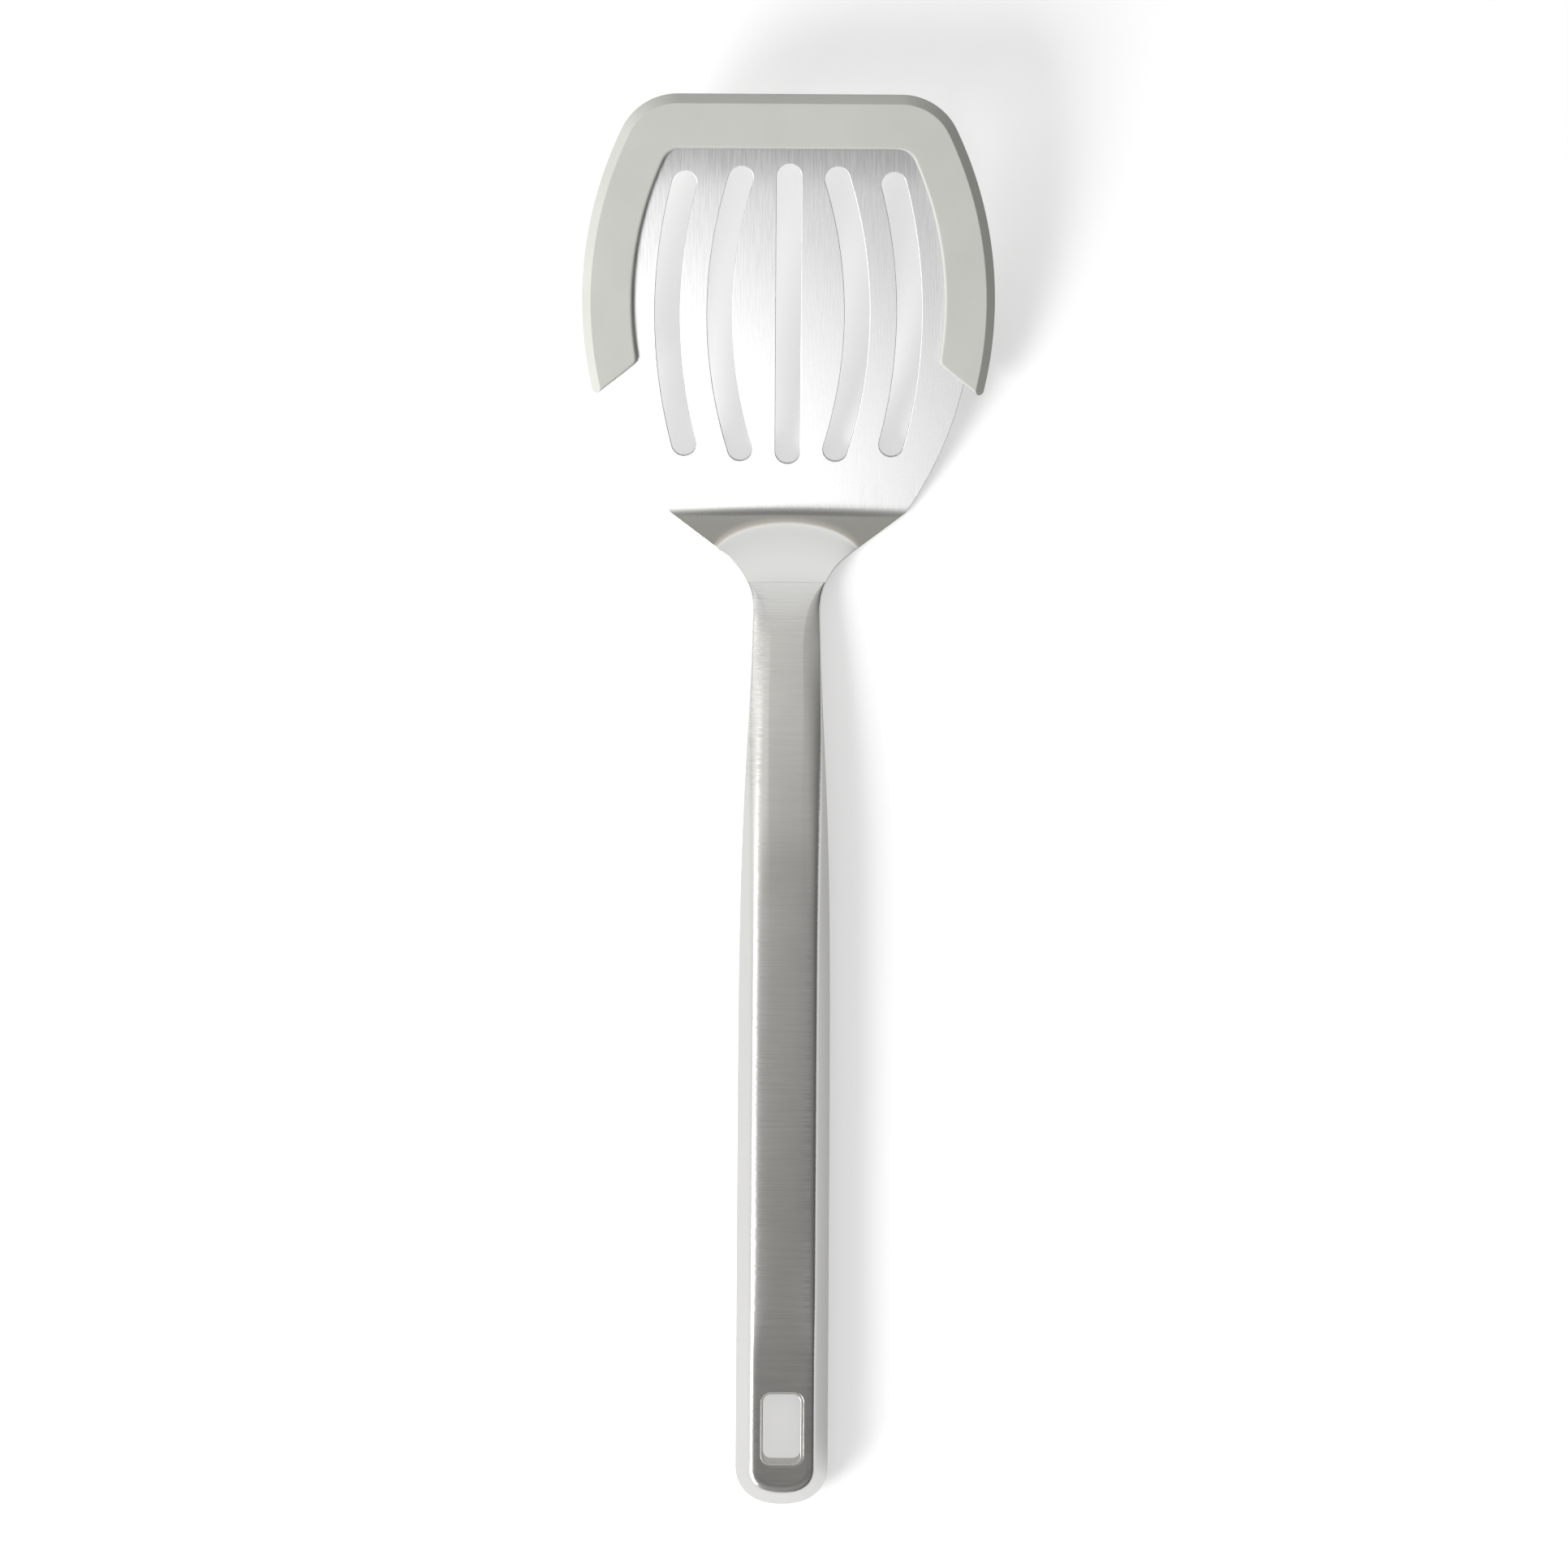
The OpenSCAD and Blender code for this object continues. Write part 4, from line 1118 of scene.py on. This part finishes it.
def sleeve_steel():
    """Dull drawn steel with faint upright lines."""
    material, n = new_material("drawn_sleeve_steel")
    lines = n.grain(n.millimetres(), SLEEVE_GRAIN)
    n.steel(steel_tones(n, lines, HANDLE_TONE), SLEEVE_ROUGHNESS + lines * SLEEVE_UNEVEN)
    return material


def moulded_silicone():
    """Matt grey silicone with a fine moulded grain and a faint cloudiness."""
    material, n = new_material("moulded_silicone")
    place = n.millimetres()
    cloud = n.grain(place, CLOUD_GRAIN, detail=3.0)
    speck = n.grain(place, SPECK_GRAIN)
    cloud_share, speck_share = 0.7, 0.3
    mottle = cloud * cloud_share + speck * speck_share
    colour = n.tint(n.smooth(mottle, *GRAIN_RANGE), *SILICONE_TONES)
    bump = n.add("ShaderNodeBump", None,
                 {"Strength": SPECK_STRENGTH, "Distance": SPECK_DEPTH * MM, "Height": speck})
    roughness = SILICONE_ROUGHNESS + (cloud - 0.5) * SILICONE_UNEVEN
    shader = n.add("ShaderNodeBsdfPrincipled", None,
                   {"Base Color": colour, "Roughness": roughness, "IOR": SILICONE_IOR, "Normal": bump})
    n.add("ShaderNodeOutputMaterial", None, {0: shader})
    return material


def studio_floor():
    """A white table. For the camera and in the steel it glows a little, like a light box, so the shadow
    stays pale."""
    material, n = new_material("studio_floor")
    diffuse = n.add("ShaderNodeBsdfDiffuse", None, {"Color": (TABLE_TONE, TABLE_TONE, TABLE_TONE, 1)})
    seen = n.add("ShaderNodeLightPath", out="Is Camera Ray")
    mirrored = n.add("ShaderNodeLightPath", out="Is Glossy Ray")
    strength = seen * TABLE_GLOW + mirrored * TABLE_SHINE
    glow = n.add("ShaderNodeEmission", None, {"Color": (1, 1, 1, 1), "Strength": strength})
    both = n.add("ShaderNodeAddShader", None, {0: diffuse, 1: glow})
    n.add("ShaderNodeOutputMaterial", None, {0: both})
    mesh = bpy.data.meshes.new("studio_floor")
    half = 3.0
    corners = [(-half, -half, 0), (half, -half, 0), (half, half, 0), (-half, half, 0)]
    mesh.from_pydata(corners, [], [(0, 1, 2, 3)])
    mesh.materials.append(material)
    floor = bpy.data.objects.new("studio_floor", mesh)
    bpy.context.scene.collection.objects.link(floor)


def sky_angle(n, slope, height):
    """Angle from overhead of a line of sight, from its slope along one direction and its height."""
    least = 0.02
    return n.maths("ARCTAN2", slope, n.maths("MAXIMUM", height, least))


def sky_band(n, angle, levels):
    """Sky level along one direction: a ramp over the angle from overhead."""
    least, most = levels[0][0], levels[-1][0]
    share = n.add("ShaderNodeMapRange", None,
                  {"Value": angle, "From Min": radians(least), "From Max": radians(most)})
    stops = [((degrees - least) / (most - least), level) for degrees, level in levels]
    return n.add("ShaderNodeValToRGB", {"stops": stops}, {0: share})


def studio_sky():
    """Soft light all round, dimmer from the handle's side and the right. Ahead it is bright and even, and
    overhead it is brighter at the left."""
    world = bpy.data.worlds.new("studio_sky")
    bpy.context.scene.world = world
    world.use_nodes = True
    n = Nodes(world.node_tree)
    way = n.add("ShaderNodeTexCoord", out=0)
    x, y, z = (n.add("ShaderNodeSeparateXYZ", None, {0: way}, k) for k in range(3))
    along, across = sky_angle(n, y, z), sky_angle(n, x, z)
    along_size, across_size = n.maths("ABSOLUTE", along), n.maths("ABSOLUTE", across)
    ahead = n.smooth(along, *radians(FRONT_FADE_ALONG))
    front = ahead * n.smooth(across_size, *radians(FRONT_FADE_ACROSS))
    overhead = n.smooth(along_size, *radians(OVERHEAD_FADE))
    left = n.smooth(across, *radians(LEFT_FADE)) * overhead * SKY_LEFT
    sideways = sky_band(n, across, SKY_ACROSS) * (1 - front) + front
    tone = sky_band(n, along, SKY_ALONG) * sideways * (1 + left)
    camera = n.add("ShaderNodeLightPath", out="Is Camera Ray")
    sky = n.add("ShaderNodeBackground", None, {"Color": n.tint(camera, tone, (1, 1, 1)), "Strength": 1.0})
    n.add("ShaderNodeOutputWorld", None, {0: sky})


def soft_lamp(name, way, distance, size, power):
    """A square soft box that faces the turner from a direction."""
    lamp = bpy.data.lights.new(name, "AREA")
    lamp.shape = "SQUARE"
    lamp.size = size
    lamp.energy = power
    aim = Vector((0, 0.03, 0.01))
    box = bpy.data.objects.new(name, lamp)
    box.location = aim + Vector(way).normalized() * distance
    box.rotation_euler = Vector(way).to_track_quat("Z", "Y").to_euler()
    bpy.context.scene.collection.objects.link(box)


def camera_above():
    """The photograph's camera: straight above the turner, turned a little so that the turner leans as in the
    photo."""
    height = 1.6
    table_width = 0.37233
    middle_x, middle_y = -0.00036, 0.00459
    turn = radians(0.347)
    lens = bpy.data.cameras.new("camera_above")
    lens.sensor_width = 36
    lens.lens = lens.sensor_width * height / table_width
    camera = bpy.data.objects.new("camera_above", lens)
    camera.location = (middle_x, middle_y, height)
    camera.rotation_euler = (0, 0, turn)
    bpy.context.scene.collection.objects.link(camera)
    bpy.context.scene.camera = camera


blade_sheet()
silicone_lip()
handle_shell(1, "handle_front", "handle_front_shell")
handle_shell(-1, "handle_back", "handle_back_shell")
hole_sleeve()
studio_floor()
studio_sky()
soft_lamp("key_lamp", **KEY_LAMP)
camera_above()
bpy.context.scene.view_settings.view_transform = "Standard"
